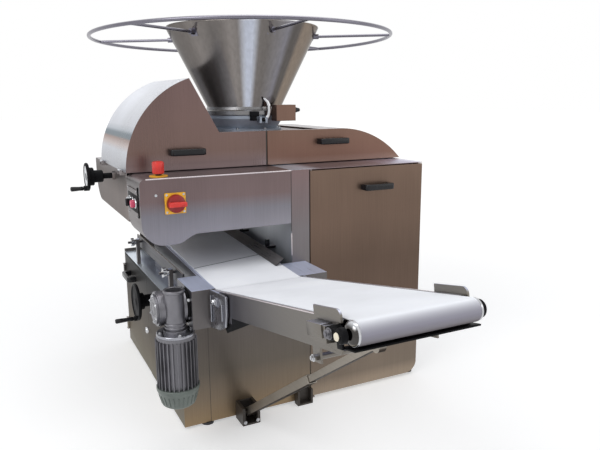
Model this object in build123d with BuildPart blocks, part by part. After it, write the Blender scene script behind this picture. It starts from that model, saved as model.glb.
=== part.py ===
"""Dough divider: hopper, dividing head, discharge belt and tilting outfeed, in millimetres.

The origin is on the floor under the middle of the machine's box, +Z is up and the front faces -Y.
"""

import os
from math import cos, radians, sin, sqrt

from build123d import *

# Main planes of the casing
sheet = 3.0
floor_gap = 10.0
front_y = -11.0
back_y = 1039.0
base_left_x = -430.0
base_top_z = 500.0
jamb_left_x = 50.0
jamb_right_x = 131.0
door_left_x = 135.0
cabinet_right_x = 697.0
table_z = 1010.0
inner_front_y = front_y + sheet
inner_back_y = back_y - sheet

# Upper body and control box
body_left_x = -553.0
body_bottom_z = 817.0
body_back_y = 964.0
body_corner_r = 120.0
box_back_y = 218.0
box_bottom_z = 793.0
box_sag_z = 760.0
box_step_start_x = -335.0
box_step_end_x = -432.0
box_corner_r = 85.0
box_shoulder_r = 22.0

# Hoods
hood_front_y = 180.0
hood_back_y = 743.0
hood_bottom_z = 1014.0
hood_top_z = 1158.0
left_hood_x = -560.0
left_arc_r = 379.0
apex_x = -296.0
slant_foot_x = -180.0
hood_seam_x = 30.0
seam_gap = 3.0
roof_start_x = 290.0
right_flat_end_x = 384.0
right_hood_x = 707.0
right_arc_r = 438.0
apron_lip = 18.0
hood_hinge_z = 1016.0
hood_hinge_gap = 8.0
knuckle_r = 5.0
knuckle_pin_r = 2.5

# Hopper and guard ring
hopper_x = 48.0
hopper_y = 474.0
throat_r = 105.0
deck_z = 1150.0
collar_top_z = 1218.0
flange_r = 183.0
flange_z = 1218.6
cone_bottom_z = 1256.0
cone_bottom_r = 169.0
rim_z = 1602.0
rim_r = 336.0
rim_bead_r = 6.0
ring_r = 658.0
ring_tube_r = 7.5
ring_z = 1555.0
ring_droop = 0.021
spoke_r = 6.0
spoke_first_angle = 30.0
spoke_count = 6
tilt_pin_y = 679.0
tilt_pin_z = 1229.0
tilt_pin_r = 6.0

# Belt, table and rollers
belt_x = -177.0
belt_width = 336.0
belt_thickness = 2.5
crease_y = -201.0
crease_z = 627.0
tail_y = 629.0
tail_top_z = 662.0
tail_roller_r = 27.0
drive_y = -121.0
drive_z = 560.0
drive_roller_r = 36.0
roller_gap = 0.4
drive_shaft_r = 12.5
tail_shaft_r = 10.0
bracket_front_y = -198.0
bracket_bottom_z = 485.0
bracket_top_z = 629.0
left_bracket_x = (-433.0, -345.0)
right_bracket_x = (-9.0, 110.0)
left_plate_x = (-357.0, -351.0)
right_plate_x = (-3.0, 3.0)

# Outfeed
incline = 11.65
outfeed_pivot_y = -266.0
outfeed_pivot_z = 600.0
outfeed_pin_r = 10.0
outfeed_plate_left_x = (-355.0, -349.0)
outfeed_plate_right_x = (-5.0, 1.0)
outfeed_start = 14.0
outfeed_plate_end = 905.0
outfeed_depth = 85.0
end_roller_u = 952.7
end_roller_r = 27.0
end_shaft_r = 8.0

# Strut
strut_foot_y = -71.0
strut_foot_z = 50.0
strut_pin_r = 8.0
strut_outer = 30.0
strut_inner = 22.0
strut_tube_end = 660.0
strut_rod_start = 430.0
strut_top_u = 778.0
strut_top_w = -110.0

# Dividing head
drum_x = -171.0
drum_z = 970.0
drum_r = 140.0
drum_shaft_r = 20.0
cheek_front_y = (232.0, 244.0)
cheek_back_y = (716.0, 728.0)
ram_half_width = 134.0
ram_half_height = 55.0
ram_front_x = 120.0
rocker_x = 330.0
rocker_z = 560.0
rocker_shaft_r = 20.0
crosshead_pin_r = 12.0
crank_x = 520.0
crank_z = 410.0
crank_throw = 22.0
crank_pin_r = 12.0

# Handwheels
weight_wheel_x = -664.0
weight_wheel_y = 479.0
weight_wheel_z = 974.0
weight_rim_r = 52.0
weight_hub = ((38.0, 26.0), (26.0, 38.0))
weight_spindle_r = 12.0
weight_grip_tip_x = -735.3
weight_grip_angle = 255.0
speed_wheel_x = -520.0
speed_wheel_y = 343.0
speed_wheel_z = 443.0
speed_rim_r = 73.0
speed_hub = ((36.0, 30.0), (26.0, 54.0))
speed_spindle_r = 10.0
speed_grip_tip_x = -616.0
speed_grip_angle = 255.0
rim_tube_r = 7.0
grip_pin_r = 5.0

# Switches
switch_x = -426.0
switch_z = 916.0
estop_x = -467.0
estop_y = 52.0
panel_button_z = 915.0
panel_button_y = (58.0, 104.0, 150.0)

# Running clearance of a shaft in its bore
running = 0.05

# Values worked out from those above
incline_sin = sin(radians(incline))
incline_cos = cos(radians(incline))
outfeed_plane = Plane(
    origin=(0, crease_y, crease_z), x_dir=(1, 0, 0), z_dir=(0, incline_sin, incline_cos)
)
belt_left_x = belt_x - belt_width / 2
belt_right_x = belt_x + belt_width / 2
belt_slope = (tail_top_z - crease_z) / (tail_y - crease_y)
tail_z = tail_top_z - belt_thickness - roller_gap - tail_roller_r
end_roller_w = -belt_thickness - roller_gap - end_roller_r
strut_top_y = crease_y - strut_top_u * incline_cos + strut_top_w * incline_sin
strut_top_z = crease_z + strut_top_u * incline_sin + strut_top_w * incline_cos
strut_length = sqrt((strut_top_y - strut_foot_y) ** 2 + (strut_top_z - strut_foot_z) ** 2)
strut_direction = (
    0,
    (strut_top_y - strut_foot_y) / strut_length,
    (strut_top_z - strut_foot_z) / strut_length,
)
left_hinge_x = left_hood_x - hood_hinge_gap
right_hinge_x = right_hood_x + hood_hinge_gap
left_arc_x = left_hood_x + left_arc_r
apex_z = table_z + sqrt(left_arc_r**2 - (apex_x - left_arc_x) ** 2)
ring_normal = (0, ring_droop, 1)
ring_plane = Plane(origin=(hopper_x, hopper_y, ring_z), x_dir=(1, 0, 0), z_dir=ring_normal)

# The machine is drawn from its casing's planes and moved so that its box stands on its middle
front_end_y = crease_y - end_roller_u * incline_cos + end_roller_w * incline_sin
front_end_y -= end_roller_r + roller_gap + belt_thickness
back_end_y = hopper_y + ring_r / sqrt(1 + ring_droop**2) + ring_tube_r
right_end_x = right_hinge_x + knuckle_r
to_middle = Location((-(weight_grip_tip_x + right_end_x) / 2, -(front_end_y + back_end_y) / 2, 0))

os.makedirs("parts", exist_ok=True)


def block(x, y, z, mode=Mode.ADD):
    """A box between two limits on each axis."""
    with Locations(((x[0] + x[1]) / 2, (y[0] + y[1]) / 2, (z[0] + z[1]) / 2)):
        Box(x[1] - x[0], y[1] - y[0], z[1] - z[0], mode=mode)


def rod_x(x, y, z, radius, mode=Mode.ADD):
    """A round bar along X."""
    with Locations(Location(((x[0] + x[1]) / 2, y, z), (0, 90, 0))):
        Cylinder(radius, x[1] - x[0], mode=mode)


def rod_y(x, y, z, radius, mode=Mode.ADD):
    """A round bar along Y."""
    with Locations(Location((x, (y[0] + y[1]) / 2, z), (90, 0, 0))):
        Cylinder(radius, y[1] - y[0], mode=mode)


def rod_z(x, y, z, radius, mode=Mode.ADD):
    """A round bar along Z."""
    with Locations((x, y, (z[0] + z[1]) / 2)):
        Cylinder(radius, z[1] - z[0], mode=mode)


def belt_height(y):
    """Height of the belt's upper face inside the machine."""
    return crease_z + (y - crease_y) * belt_slope


def along(x, u, w, mode=Mode.ADD):
    """A box on the outfeed's slope: u runs outwards along the belt, w up from its face."""
    block(x, (-u[1], -u[0]), w, mode)


# Welded frame with the two cheek plates of the dividing head
tube = 32.0
frame_left_x = -408.0
frame_mid_x = 56.0
frame_right_x = cabinet_right_x - sheet - tube
door_rail_y = 20.0
rail_z = (20.0, 20.0 + tube)
left_rail_z = (base_top_z - sheet - tube, base_top_z - sheet)
top_rail_z = (table_z - sheet - tube, table_z - sheet)
back_rail_y = (inner_back_y - tube, inner_back_y)
motor_plate_z = (rail_z[1], rail_z[1] + 8.0)
cheek_x = (-500.0, frame_right_x + 5)
cheek_z = (835.0, 1000.0)
rocker_post_x = (rocker_x - 30, rocker_x + 30)
rocker_post_y = ((400.0, 430.0), (518.0, 548.0))

with BuildPart() as base_frame:
    block((frame_left_x, frame_mid_x + tube), (inner_front_y, inner_front_y + tube), rail_z)
    block((frame_mid_x, frame_right_x + tube), (door_rail_y, door_rail_y + tube), rail_z)
    block((frame_left_x, frame_right_x + tube), back_rail_y, rail_z)
    for x, top, first_y in (
        (frame_left_x, left_rail_z, inner_front_y),
        (frame_mid_x, top_rail_z, inner_front_y),
        (frame_right_x, top_rail_z, door_rail_y),
    ):
        post_x = (x, x + tube)
        block(post_x, (first_y, inner_back_y), rail_z)
        block(post_x, (first_y, inner_back_y), top)
        block(post_x, (first_y, first_y + tube), (rail_z[0], top[1]))
        block(post_x, back_rail_y, (rail_z[0], top[1]))
    block((frame_mid_x, frame_mid_x + tube), (inner_front_y, inner_back_y), left_rail_z)
    for cheek_y in (cheek_front_y, cheek_back_y):
        block(cheek_x, cheek_y, cheek_z)
    block((frame_mid_x, frame_mid_x + tube), (cheek_front_y[1], cheek_back_y[0]), top_rail_z, Mode.SUBTRACT)
    block((frame_mid_x, frame_right_x + tube), (380.0, 900.0), motor_plate_z)
    for post_y in rocker_post_y:
        block(rocker_post_x, post_y, (motor_plate_z[1], rocker_z + 40))
    rod_y(drum_x, (cheek_front_y[0], cheek_back_y[1]), drum_z, drum_shaft_r + running, Mode.SUBTRACT)
    rod_y(
        rocker_x,
        (rocker_post_y[0][0], rocker_post_y[1][1]),
        rocker_z,
        rocker_shaft_r + running,
        Mode.SUBTRACT,
    )
base_frame.part.label = "base_frame"
export_step(base_frame.part.moved(to_middle), "parts/base_frame.step")

# Feet: a pad and a screwed stem under each corner of the frame
foot_places = (
    (-330.0, inner_front_y + tube / 2),
    (frame_left_x + tube / 2, inner_back_y - tube / 2),
    (frame_mid_x + tube / 2, inner_front_y + 70),
    (frame_mid_x + tube / 2, inner_back_y - tube / 2),
    (frame_right_x + tube / 2, door_rail_y + tube / 2),
    (frame_right_x + tube / 2, inner_back_y - tube / 2),
)
with BuildPart() as machine_feet:
    for x, y in foot_places:
        rod_z(x, y, (0, floor_gap), 25.0)
        rod_z(x, y, (floor_gap, rail_z[0]), 8.0)
machine_feet.part.label = "machine_feet"
export_step(machine_feet.part.moved(to_middle), "parts/machine_feet.step")

# Base casing: front panel, left front panel and the deck on top
side_seam_y = 545.0
with BuildPart() as base_casing:
    block((base_left_x, jamb_right_x), (front_y, inner_front_y), (floor_gap, base_top_z))
    block((base_left_x, base_left_x + sheet), (front_y, side_seam_y - 2), (floor_gap, base_top_z))
    block((base_left_x, frame_mid_x), (front_y, inner_back_y), (base_top_z - sheet, base_top_z))
    boss_x = (base_left_x - 18, base_left_x)
    rod_x(boss_x, speed_wheel_y, speed_wheel_z, 24.0)
    rod_x(
        (boss_x[0], base_left_x + sheet),
        speed_wheel_y,
        speed_wheel_z,
        speed_spindle_r + running,
        Mode.SUBTRACT,
    )
base_casing.part.label = "base_casing"
export_step(base_casing.part.moved(to_middle), "parts/base_casing.step")

# Back panel with the hole for the supply cable's gland
cable_hole_x = 600.0
cable_hole_z = 150.0
cable_hole_r = 12.75
panel_step_x = -345.0
panel_step_z = 516.0
with BuildPart() as back_panel:
    block((base_left_x, cabinet_right_x), (inner_back_y, back_y), (floor_gap, table_z))
    block((base_left_x, panel_step_x), (inner_back_y, back_y), (panel_step_z, table_z), Mode.SUBTRACT)
    rod_y(cable_hole_x, (inner_back_y, back_y), cable_hole_z, cable_hole_r, Mode.SUBTRACT)
back_panel.part.label = "back_panel"
export_step(back_panel.part.moved(to_middle), "parts/back_panel.step")

# Right cabinet: tunnel wall, door jamb, right wall and the top with its opening
head_window_y = (cheek_front_y[0] - 6, cheek_back_y[1] + 6)
with BuildPart() as cabinet_shell:
    block((jamb_left_x, jamb_left_x + sheet), (front_y, inner_back_y), (base_top_z, table_z))
    block((jamb_left_x, jamb_right_x), (front_y, inner_front_y), (base_top_z, table_z))
    block((cabinet_right_x - sheet, cabinet_right_x), (18.0, inner_back_y), (floor_gap, table_z))
    block((jamb_left_x, cabinet_right_x), (front_y, inner_back_y), (table_z - sheet, table_z))
    block((jamb_left_x, 92.0), head_window_y, (cheek_z[0] - 6, table_z), Mode.SUBTRACT)
    block((84.0, 667.0), head_window_y, (table_z - sheet, table_z), Mode.SUBTRACT)
cabinet_shell.part.label = "cabinet_shell"
export_step(cabinet_shell.part.moved(to_middle), "parts/cabinet_shell.step")

# Cabinet door: a folded tray hung on two pivot pins at its left edge
door_depth = 25.0
door_top_z = 1003.0
door_bottom_z = 14.0
door_corner_r = 55.0
door_pin_x = 142.0
door_pin_y = -3.0
door_pin_r = 4.0
with BuildPart() as cabinet_door:
    with BuildSketch(Plane.XZ.offset(-(front_y + door_depth))):
        with Locations(((door_left_x + cabinet_right_x) / 2, (door_bottom_z + door_top_z) / 2)):
            Rectangle(cabinet_right_x - door_left_x, door_top_z - door_bottom_z)
    extrude(amount=door_depth)
    corner = cabinet_door.edges().filter_by(Axis.Y).sort_by(Axis.Z)[:2].sort_by(Axis.X)[-1]
    fillet(corner, door_corner_r)
    opening = cabinet_door.faces().sort_by(Axis.Y)[-1]
    offset(amount=-sheet, openings=opening)
    for edge_z in (door_bottom_z, door_top_z - sheet):
        rod_z(door_pin_x, door_pin_y, (edge_z, edge_z + sheet), door_pin_r + running, Mode.SUBTRACT)
cabinet_door.part.label = "cabinet_door"
export_step(cabinet_door.part.moved(to_middle), "parts/cabinet_door.step")

# Left side door: a shallow tray hung on knuckles at its back edge
side_door_depth = 15.0
side_door_y = (side_seam_y, 1030.0)
side_door_z = (14.0, 492.0)
side_hinge_x = base_left_x - 7.0
side_hinge_y = side_door_y[1]
side_knuckles_z = ((80.0, 130.0), (380.0, 430.0))
with BuildPart() as left_side_door:
    block((base_left_x, base_left_x + side_door_depth), side_door_y, side_door_z)
    hollow_y = (side_door_y[0] + sheet, side_door_y[1] - sheet)
    hollow_z = (side_door_z[0] + sheet, side_door_z[1] - sheet)
    block((base_left_x + sheet, base_left_x + side_door_depth), hollow_y, hollow_z, Mode.SUBTRACT)
    for span in side_knuckles_z:
        rod_z(side_hinge_x, side_hinge_y, span, knuckle_r)
        block((side_hinge_x, base_left_x), (side_hinge_y - 4, side_hinge_y), span)
        rod_z(side_hinge_x, side_hinge_y, span, knuckle_pin_r + running, Mode.SUBTRACT)
left_side_door.part.label = "left_side_door"
export_step(left_side_door.part.moved(to_middle), "parts/left_side_door.step")

# Upper body over the tunnel: bottom with the drop opening, round back corner, left wall
drop_x = (-332.0, -20.0)
drop_y = (252.0, 708.0)
with BuildPart() as upper_body_shell:
    with BuildSketch(Plane.YZ.offset(body_left_x)):
        with BuildLine():
            Polyline(
                (box_back_y, table_z),
                (box_back_y, body_bottom_z),
                (body_back_y - body_corner_r, body_bottom_z),
            )
            RadiusArc(
                (body_back_y - body_corner_r, body_bottom_z),
                (body_back_y, body_bottom_z + body_corner_r),
                -body_corner_r,
            )
            Polyline(
                (body_back_y, body_bottom_z + body_corner_r),
                (body_back_y, table_z),
                (box_back_y, table_z),
            )
        make_face()
    extrude(amount=jamb_left_x - body_left_x)
    with BuildSketch(Plane.YZ.offset(body_left_x + sheet)):
        inner_r = body_corner_r - sheet
        with BuildLine():
            Polyline(
                (box_back_y, table_z - sheet),
                (box_back_y, body_bottom_z + sheet),
                (body_back_y - body_corner_r, body_bottom_z + sheet),
            )
            RadiusArc(
                (body_back_y - body_corner_r, body_bottom_z + sheet),
                (body_back_y - sheet, body_bottom_z + body_corner_r),
                -inner_r,
            )
            Polyline(
                (body_back_y - sheet, body_bottom_z + body_corner_r),
                (body_back_y - sheet, table_z - sheet),
                (box_back_y, table_z - sheet),
            )
        make_face()
    extrude(amount=jamb_left_x - body_left_x, mode=Mode.SUBTRACT)
    block(
        (body_left_x + sheet, jamb_left_x),
        (box_back_y, hood_back_y + sheet),
        (table_z - sheet, table_z),
        Mode.SUBTRACT,
    )
    block(drop_x, drop_y, (body_bottom_z, body_bottom_z + sheet), Mode.SUBTRACT)
    spindle_boss_x = (body_left_x - 10, body_left_x)
    rod_x(spindle_boss_x, weight_wheel_y, weight_wheel_z, 18.0)
    rod_x(
        (spindle_boss_x[0], body_left_x + sheet),
        weight_wheel_y,
        weight_wheel_z,
        weight_spindle_r + running,
        Mode.SUBTRACT,
    )
upper_body_shell.part.label = "upper_body_shell"
export_step(upper_body_shell.part.moved(to_middle), "parts/upper_body_shell.step")

# Control box: round lower left corner and a soft step in its lower edge, open at the back
step_mid_x = (box_step_start_x + box_step_end_x) / 2
step_mid_z = (box_bottom_z + box_sag_z) / 2


def control_box_outline(inset):
    """The control box seen from the front, drawn in by the sheet's thickness for its hollow."""
    left = body_left_x + inset
    right = jamb_left_x - inset
    top = table_z - inset
    step = (box_step_start_x, box_bottom_z + inset)
    sag = (box_step_end_x, box_sag_z + inset)
    corner_r = box_corner_r - inset
    corner = (left + corner_r, box_sag_z + inset)
    shoulder_r = box_shoulder_r - inset
    shoulder = (left, top - shoulder_r)
    with BuildSketch(Plane.XZ.offset(-box_back_y)) as outline:
        with BuildLine():
            Line((left, box_sag_z + box_corner_r), shoulder)
            RadiusArc(shoulder, (left + shoulder_r, top), shoulder_r)
            Polyline((left + shoulder_r, top), (right, top), (right, step[1]), step)
            Spline(step, (step_mid_x, step_mid_z + inset), sag, tangents=((-1, 0), (-1, 0)))
            Line(sag, corner)
            RadiusArc(corner, (left, box_sag_z + box_corner_r), corner_r)
        make_face()
    return outline.sketch


with BuildPart() as control_box:
    extrude(to_extrude=control_box_outline(0.0), amount=box_back_y - front_y)
    hollow = control_box_outline(sheet)
    extrude(to_extrude=hollow, amount=box_back_y - front_y - sheet, mode=Mode.SUBTRACT)
    rod_y(switch_x, (front_y, inner_front_y), switch_z, 6.0 + running, Mode.SUBTRACT)
    rod_z(estop_x, estop_y, (table_z - sheet, table_z), 11.0 + running, Mode.SUBTRACT)
    for y in panel_button_y:
        rod_x((body_left_x, body_left_x + sheet), y, panel_button_z, 11.0 + running, Mode.SUBTRACT)
control_box.part.label = "control_box"
export_step(control_box.part.moved(to_middle), "parts/control_box.step")

# Side control plate with its push buttons and selector
panel_x = (body_left_x - 3, body_left_x)
with BuildPart() as side_control_plate:
    block(panel_x, (24.0, 184.0), (panel_button_z - 52, panel_button_z + 52))
    for y in panel_button_y:
        rod_x(panel_x, y, panel_button_z, 11.0 + running, Mode.SUBTRACT)
side_control_plate.part.label = "side_control_plate"
export_step(side_control_plate.part.moved(to_middle), "parts/side_control_plate.step")

button_travel = 4.0
with BuildPart() as start_button:
    rod_x((panel_x[0] - 12, body_left_x + 14), panel_button_y[2], panel_button_z, 11.0)
    rod_x((panel_x[0] - 14, panel_x[0] - button_travel - 1), panel_button_y[2], panel_button_z, 14.0)
start_button.part.label = "start_button"
export_step(start_button.part.moved(to_middle), "parts/start_button.step")

with BuildPart() as stop_button:
    rod_x((panel_x[0] - 12, body_left_x + 14), panel_button_y[0], panel_button_z, 11.0)
    rod_x((panel_x[0] - 20, panel_x[0] - button_travel - 1), panel_button_y[0], panel_button_z, 15.0)
stop_button.part.label = "stop_button"
export_step(stop_button.part.moved(to_middle), "parts/stop_button.step")

with BuildPart() as selector_knob:
    rod_x((panel_x[0] - 12, body_left_x + 14), panel_button_y[1], panel_button_z, 11.0)
    rod_x((panel_x[0] - 14, panel_x[0] - 0.6), panel_button_y[1], panel_button_z, 15.0)
    block(
        (panel_x[0] - 28, panel_x[0] - 14),
        (panel_button_y[1] - 5, panel_button_y[1] + 5),
        (panel_button_z - 14, panel_button_z + 14),
    )
selector_knob.part.label = "selector_knob"
export_step(selector_knob.part.moved(to_middle), "parts/selector_knob.step")

# Main switch
switch_half = 39.0
with BuildPart() as main_switch_plate:
    block(
        (switch_x - switch_half, switch_x + switch_half),
        (front_y - 4, front_y),
        (switch_z - switch_half, switch_z + switch_half),
    )
    fillet(main_switch_plate.edges().filter_by(Axis.Y), 5.0)
    rod_y(switch_x, (front_y - 4, front_y), switch_z, 6.0 + running, Mode.SUBTRACT)
main_switch_plate.part.label = "main_switch_plate"
export_step(main_switch_plate.part.moved(to_middle), "parts/main_switch_plate.step")

knob_back_y = front_y - 4.6
with BuildPart() as main_switch_knob:
    rod_y(switch_x, (knob_back_y, 12.0), switch_z, 6.0)
    rod_y(switch_x, (knob_back_y - 26, knob_back_y), switch_z, 34.0)
    grip_y = (knob_back_y - 45, knob_back_y - 26)
    block((switch_x - 33, switch_x + 33), grip_y, (switch_z - 9, switch_z + 9))
    fillet(main_switch_knob.faces().sort_by(Axis.Y)[0].edges(), 4.0)
main_switch_knob.part.label = "main_switch_knob"
export_step(main_switch_knob.part.moved(to_middle), "parts/main_switch_knob.step")

# Emergency stop
estop_collar_z = (table_z, table_z + 4)
estop_cap_z = (table_z + 11, table_z + 57)
with BuildPart() as estop_collar:
    rod_z(estop_x, estop_y, estop_collar_z, 34.0)
    rod_z(estop_x, estop_y, estop_collar_z, 11.0 + running, Mode.SUBTRACT)
estop_collar.part.label = "estop_collar"
export_step(estop_collar.part.moved(to_middle), "parts/estop_collar.step")

with BuildPart() as estop_button:
    rod_z(estop_x, estop_y, (table_z - 16, estop_cap_z[0] + 3), 11.0)
    rod_z(estop_x, estop_y, estop_cap_z, 22.0)
    fillet(estop_button.faces().sort_by(Axis.Z)[-1].edges(), 6.0)
estop_button.part.label = "estop_button"
export_step(estop_button.part.moved(to_middle), "parts/estop_button.step")

# Bridge handles
handle_half = 73.0
handle_reach = 44.0


def bridge_handle(place):
    """A bridge handle on a plane: x along the grip, y across it, z away from the sheet."""
    with BuildPart() as handle:
        with BuildSketch(place * Plane.XZ.offset(-13)):
            Polygon(
                (-handle_half, 0),
                (-handle_half + 6, handle_reach - 12),
                (-handle_half + 18, handle_reach),
                (handle_half - 18, handle_reach),
                (handle_half - 6, handle_reach - 12),
                (handle_half, 0),
                (handle_half - 22, 0),
                (handle_half - 28, handle_reach - 17),
                (-handle_half + 28, handle_reach - 17),
                (-handle_half + 22, 0),
                align=None,
            )
        extrude(amount=26)
    return handle.part


door_handle_plane = Plane(origin=(452, front_y, 919), x_dir=(1, 0, 0), z_dir=(0, -1, 0))
side_handle_plane = Plane(origin=(base_left_x, 846, 415), x_dir=(0, -1, 0), z_dir=(-1, 0, 0))
left_handle_plane = Plane(origin=(-320, hood_front_y, 1086), x_dir=(1, 0, 0), z_dir=(0, -1, 0))
right_handle_plane = Plane(origin=(342, hood_front_y, 1105), x_dir=(1, 0, 0), z_dir=(0, -1, 0))
for handle_name, handle_plane in (
    ("cabinet_door_handle", door_handle_plane),
    ("left_side_door_handle", side_handle_plane),
    ("left_hood_handle", left_handle_plane),
    ("right_hood_handle", right_handle_plane),
):
    handle_part = bridge_handle(handle_plane)
    handle_part.label = handle_name
    export_step(handle_part.moved(to_middle), f"parts/{handle_name}.step")

# Left hood: round skin, slanting face, front and back walls, and an apron in front of the collar
hinge_spans_y = ((250.0, 290.0), (670.0, 710.0))
slant_dx = slant_foot_x - apex_x
slant_dz = hood_top_z - apex_z
slant_length = sqrt(slant_dx**2 + slant_dz**2)
inner_arc_r = left_arc_r - sheet
inner_apex_x = apex_x - 1.5
inner_apex_z = table_z + sqrt(inner_arc_r**2 - (inner_apex_x - left_arc_x) ** 2)
inner_foot_x = slant_foot_x + sheet * slant_length / slant_dz
arc_bottom_x = left_arc_x - sqrt(left_arc_r**2 - (hood_bottom_z - table_z) ** 2)
inner_bottom_x = left_arc_x - sqrt(inner_arc_r**2 - (hood_bottom_z - table_z) ** 2)
mid_angle = radians(145.0)


def arc_point(radius):
    """A point half way along the left hood's round skin."""
    return (left_arc_x + radius * cos(mid_angle), table_z + radius * sin(mid_angle))


with BuildPart() as left_hood:
    with BuildSketch(Plane.XZ.offset(-hood_back_y)):
        with BuildLine():
            ThreePointArc((arc_bottom_x, hood_bottom_z), arc_point(left_arc_r), (apex_x, apex_z))
            Polyline(
                (apex_x, apex_z),
                (slant_foot_x, hood_top_z),
                (slant_foot_x, hood_bottom_z),
                (arc_bottom_x, hood_bottom_z),
            )
        make_face()
    extrude(amount=hood_back_y - hood_front_y)
    with BuildSketch(Plane.XZ.offset(-(hood_back_y - sheet))):
        with BuildLine():
            ThreePointArc(
                (inner_bottom_x, hood_bottom_z), arc_point(inner_arc_r), (inner_apex_x, inner_apex_z)
            )
            Polyline(
                (inner_apex_x, inner_apex_z),
                (inner_foot_x, hood_top_z),
                (slant_foot_x, hood_top_z),
                (slant_foot_x, hood_bottom_z),
                (inner_bottom_x, hood_bottom_z),
            )
        make_face()
    extrude(amount=hood_back_y - hood_front_y - 2 * sheet, mode=Mode.SUBTRACT)
    apron_x = (slant_foot_x - 1, hood_seam_x - seam_gap / 2)
    block(apron_x, (hood_front_y, hood_front_y + sheet), (hood_bottom_z, hood_top_z))
    block(apron_x, (hood_front_y, hood_front_y + apron_lip), (hood_top_z - sheet, hood_top_z))
    for span in hinge_spans_y:
        rod_y(left_hinge_x, span, hood_hinge_z, knuckle_r)
        block((left_hinge_x, left_hood_x + 2), span, (hood_bottom_z, hood_bottom_z + 4))
        rod_y(left_hinge_x, span, hood_hinge_z, knuckle_pin_r + running, Mode.SUBTRACT)
left_hood.part.label = "left_hood"
export_step(left_hood.part.moved(to_middle), "parts/left_hood.step")

# Right hood: flat roof that slopes off to the right, with an apron in front of the collar
right_arc_z = hood_top_z - right_arc_r


def right_skin(radius):
    """Three points on the right hood's sloping skin, from the flat roof down to the right end."""
    end_x = right_flat_end_x + sqrt(radius**2 - (hood_bottom_z - right_arc_z) ** 2)
    middle_x = (right_flat_end_x + end_x) / 2
    middle_z = right_arc_z + sqrt(radius**2 - (middle_x - right_flat_end_x) ** 2)
    return (
        (right_flat_end_x, right_arc_z + radius),
        (middle_x, middle_z),
        (end_x, hood_bottom_z),
    )


with BuildPart() as right_hood:
    with BuildSketch(Plane.XZ.offset(-hood_back_y)):
        start, middle, end = right_skin(right_arc_r)
        with BuildLine():
            Polyline(end, (roof_start_x, hood_bottom_z), (roof_start_x, hood_top_z), start)
            ThreePointArc(start, middle, end)
        make_face()
    extrude(amount=hood_back_y - hood_front_y)
    with BuildSketch(Plane.XZ.offset(-(hood_back_y - sheet))):
        start, middle, end = right_skin(right_arc_r - sheet)
        with BuildLine():
            Polyline(end, (roof_start_x, hood_bottom_z), (roof_start_x, hood_top_z - sheet), start)
            ThreePointArc(start, middle, end)
        make_face()
    extrude(amount=hood_back_y - hood_front_y - 2 * sheet, mode=Mode.SUBTRACT)
    right_apron_x = (hood_seam_x + seam_gap / 2, roof_start_x + 1)
    block(right_apron_x, (hood_front_y, hood_front_y + sheet), (hood_bottom_z, hood_top_z))
    block(right_apron_x, (hood_front_y, hood_front_y + apron_lip), (hood_top_z - sheet, hood_top_z))
    right_skin_x = right_skin(right_arc_r)[2][0]
    for span in hinge_spans_y:
        rod_y(right_hinge_x, span, hood_hinge_z, knuckle_r)
        block((right_skin_x - 2, right_hinge_x), span, (hood_bottom_z, hood_bottom_z + 4))
        rod_y(right_hinge_x, span, hood_hinge_z, knuckle_pin_r + running, Mode.SUBTRACT)
right_hood.part.label = "right_hood"
export_step(right_hood.part.moved(to_middle), "parts/right_hood.step")

# Deck round the collar, on posts that stand on the cheek plates
deck_x = (-172.0, 286.0)
with BuildPart() as top_deck:
    block(deck_x, (201.0, 740.0), (deck_z - sheet, deck_z))
    for post_x in ((-165.0, -145.0), (262.0, 282.0)):
        for cheek_y in (cheek_front_y, cheek_back_y):
            block(post_x, cheek_y, (cheek_z[1], deck_z - sheet))
    rod_z(hopper_x, hopper_y, (deck_z - sheet, deck_z), throat_r, Mode.SUBTRACT)
top_deck.part.label = "top_deck"
export_step(top_deck.part.moved(to_middle), "parts/top_deck.step")

# Collar casting under the hopper, with the tilt hinge's lugs and the clamp lever's block
lever_x = 58.0
lever_y = 284.0
lever_z = 1200.0
lever_pin_r = 4.0
lug_spans_x = ((hopper_x - 70, hopper_x - 50), (hopper_x + 50, hopper_x + 70))
lever_cheeks_x = ((lever_x - 18, lever_x - 9), (lever_x + 9, lever_x + 18))
hopper_front_plane = Plane(origin=(hopper_x, hopper_y, 0), x_dir=(1, 0, 0), z_dir=(0, -1, 0))
hopper_axis = Axis((hopper_x, hopper_y, 0), (0, 0, 1))
with BuildPart() as hopper_collar:
    with BuildSketch(hopper_front_plane):
        Polygon((0, deck_z), (168, deck_z), (168, deck_z + 8), (150, deck_z + 14), (176, collar_top_z - 14),
                (176, collar_top_z), (0, collar_top_z), align=None)
    revolve(axis=hopper_axis)
    for span in lug_spans_x:
        block(span, (hopper_y + 120, tilt_pin_y), (collar_top_z - 40, collar_top_z))
        rod_x(span, tilt_pin_y, tilt_pin_z, 14.0)
        block(span, (tilt_pin_y - 14, tilt_pin_y + 14), (collar_top_z - 20, tilt_pin_z))
    block((lever_x - 18, lever_x + 18), (lever_y + 9, hopper_y - 120), (lever_z - 14, lever_z + 12))
    for span in lever_cheeks_x:
        block(span, (lever_y - 9, lever_y + 9), (lever_z - 14, lever_z + 12))
    rod_z(hopper_x, hopper_y, (deck_z, collar_top_z), throat_r, Mode.SUBTRACT)
    for span in lug_spans_x:
        rod_x(span, tilt_pin_y, tilt_pin_z, tilt_pin_r + running, Mode.SUBTRACT)
    rod_x((lever_x - 18, lever_x + 18), lever_y, lever_z, lever_pin_r + running, Mode.SUBTRACT)
hopper_collar.part.label = "hopper_collar"
export_step(hopper_collar.part.moved(to_middle), "parts/hopper_collar.step")

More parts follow.
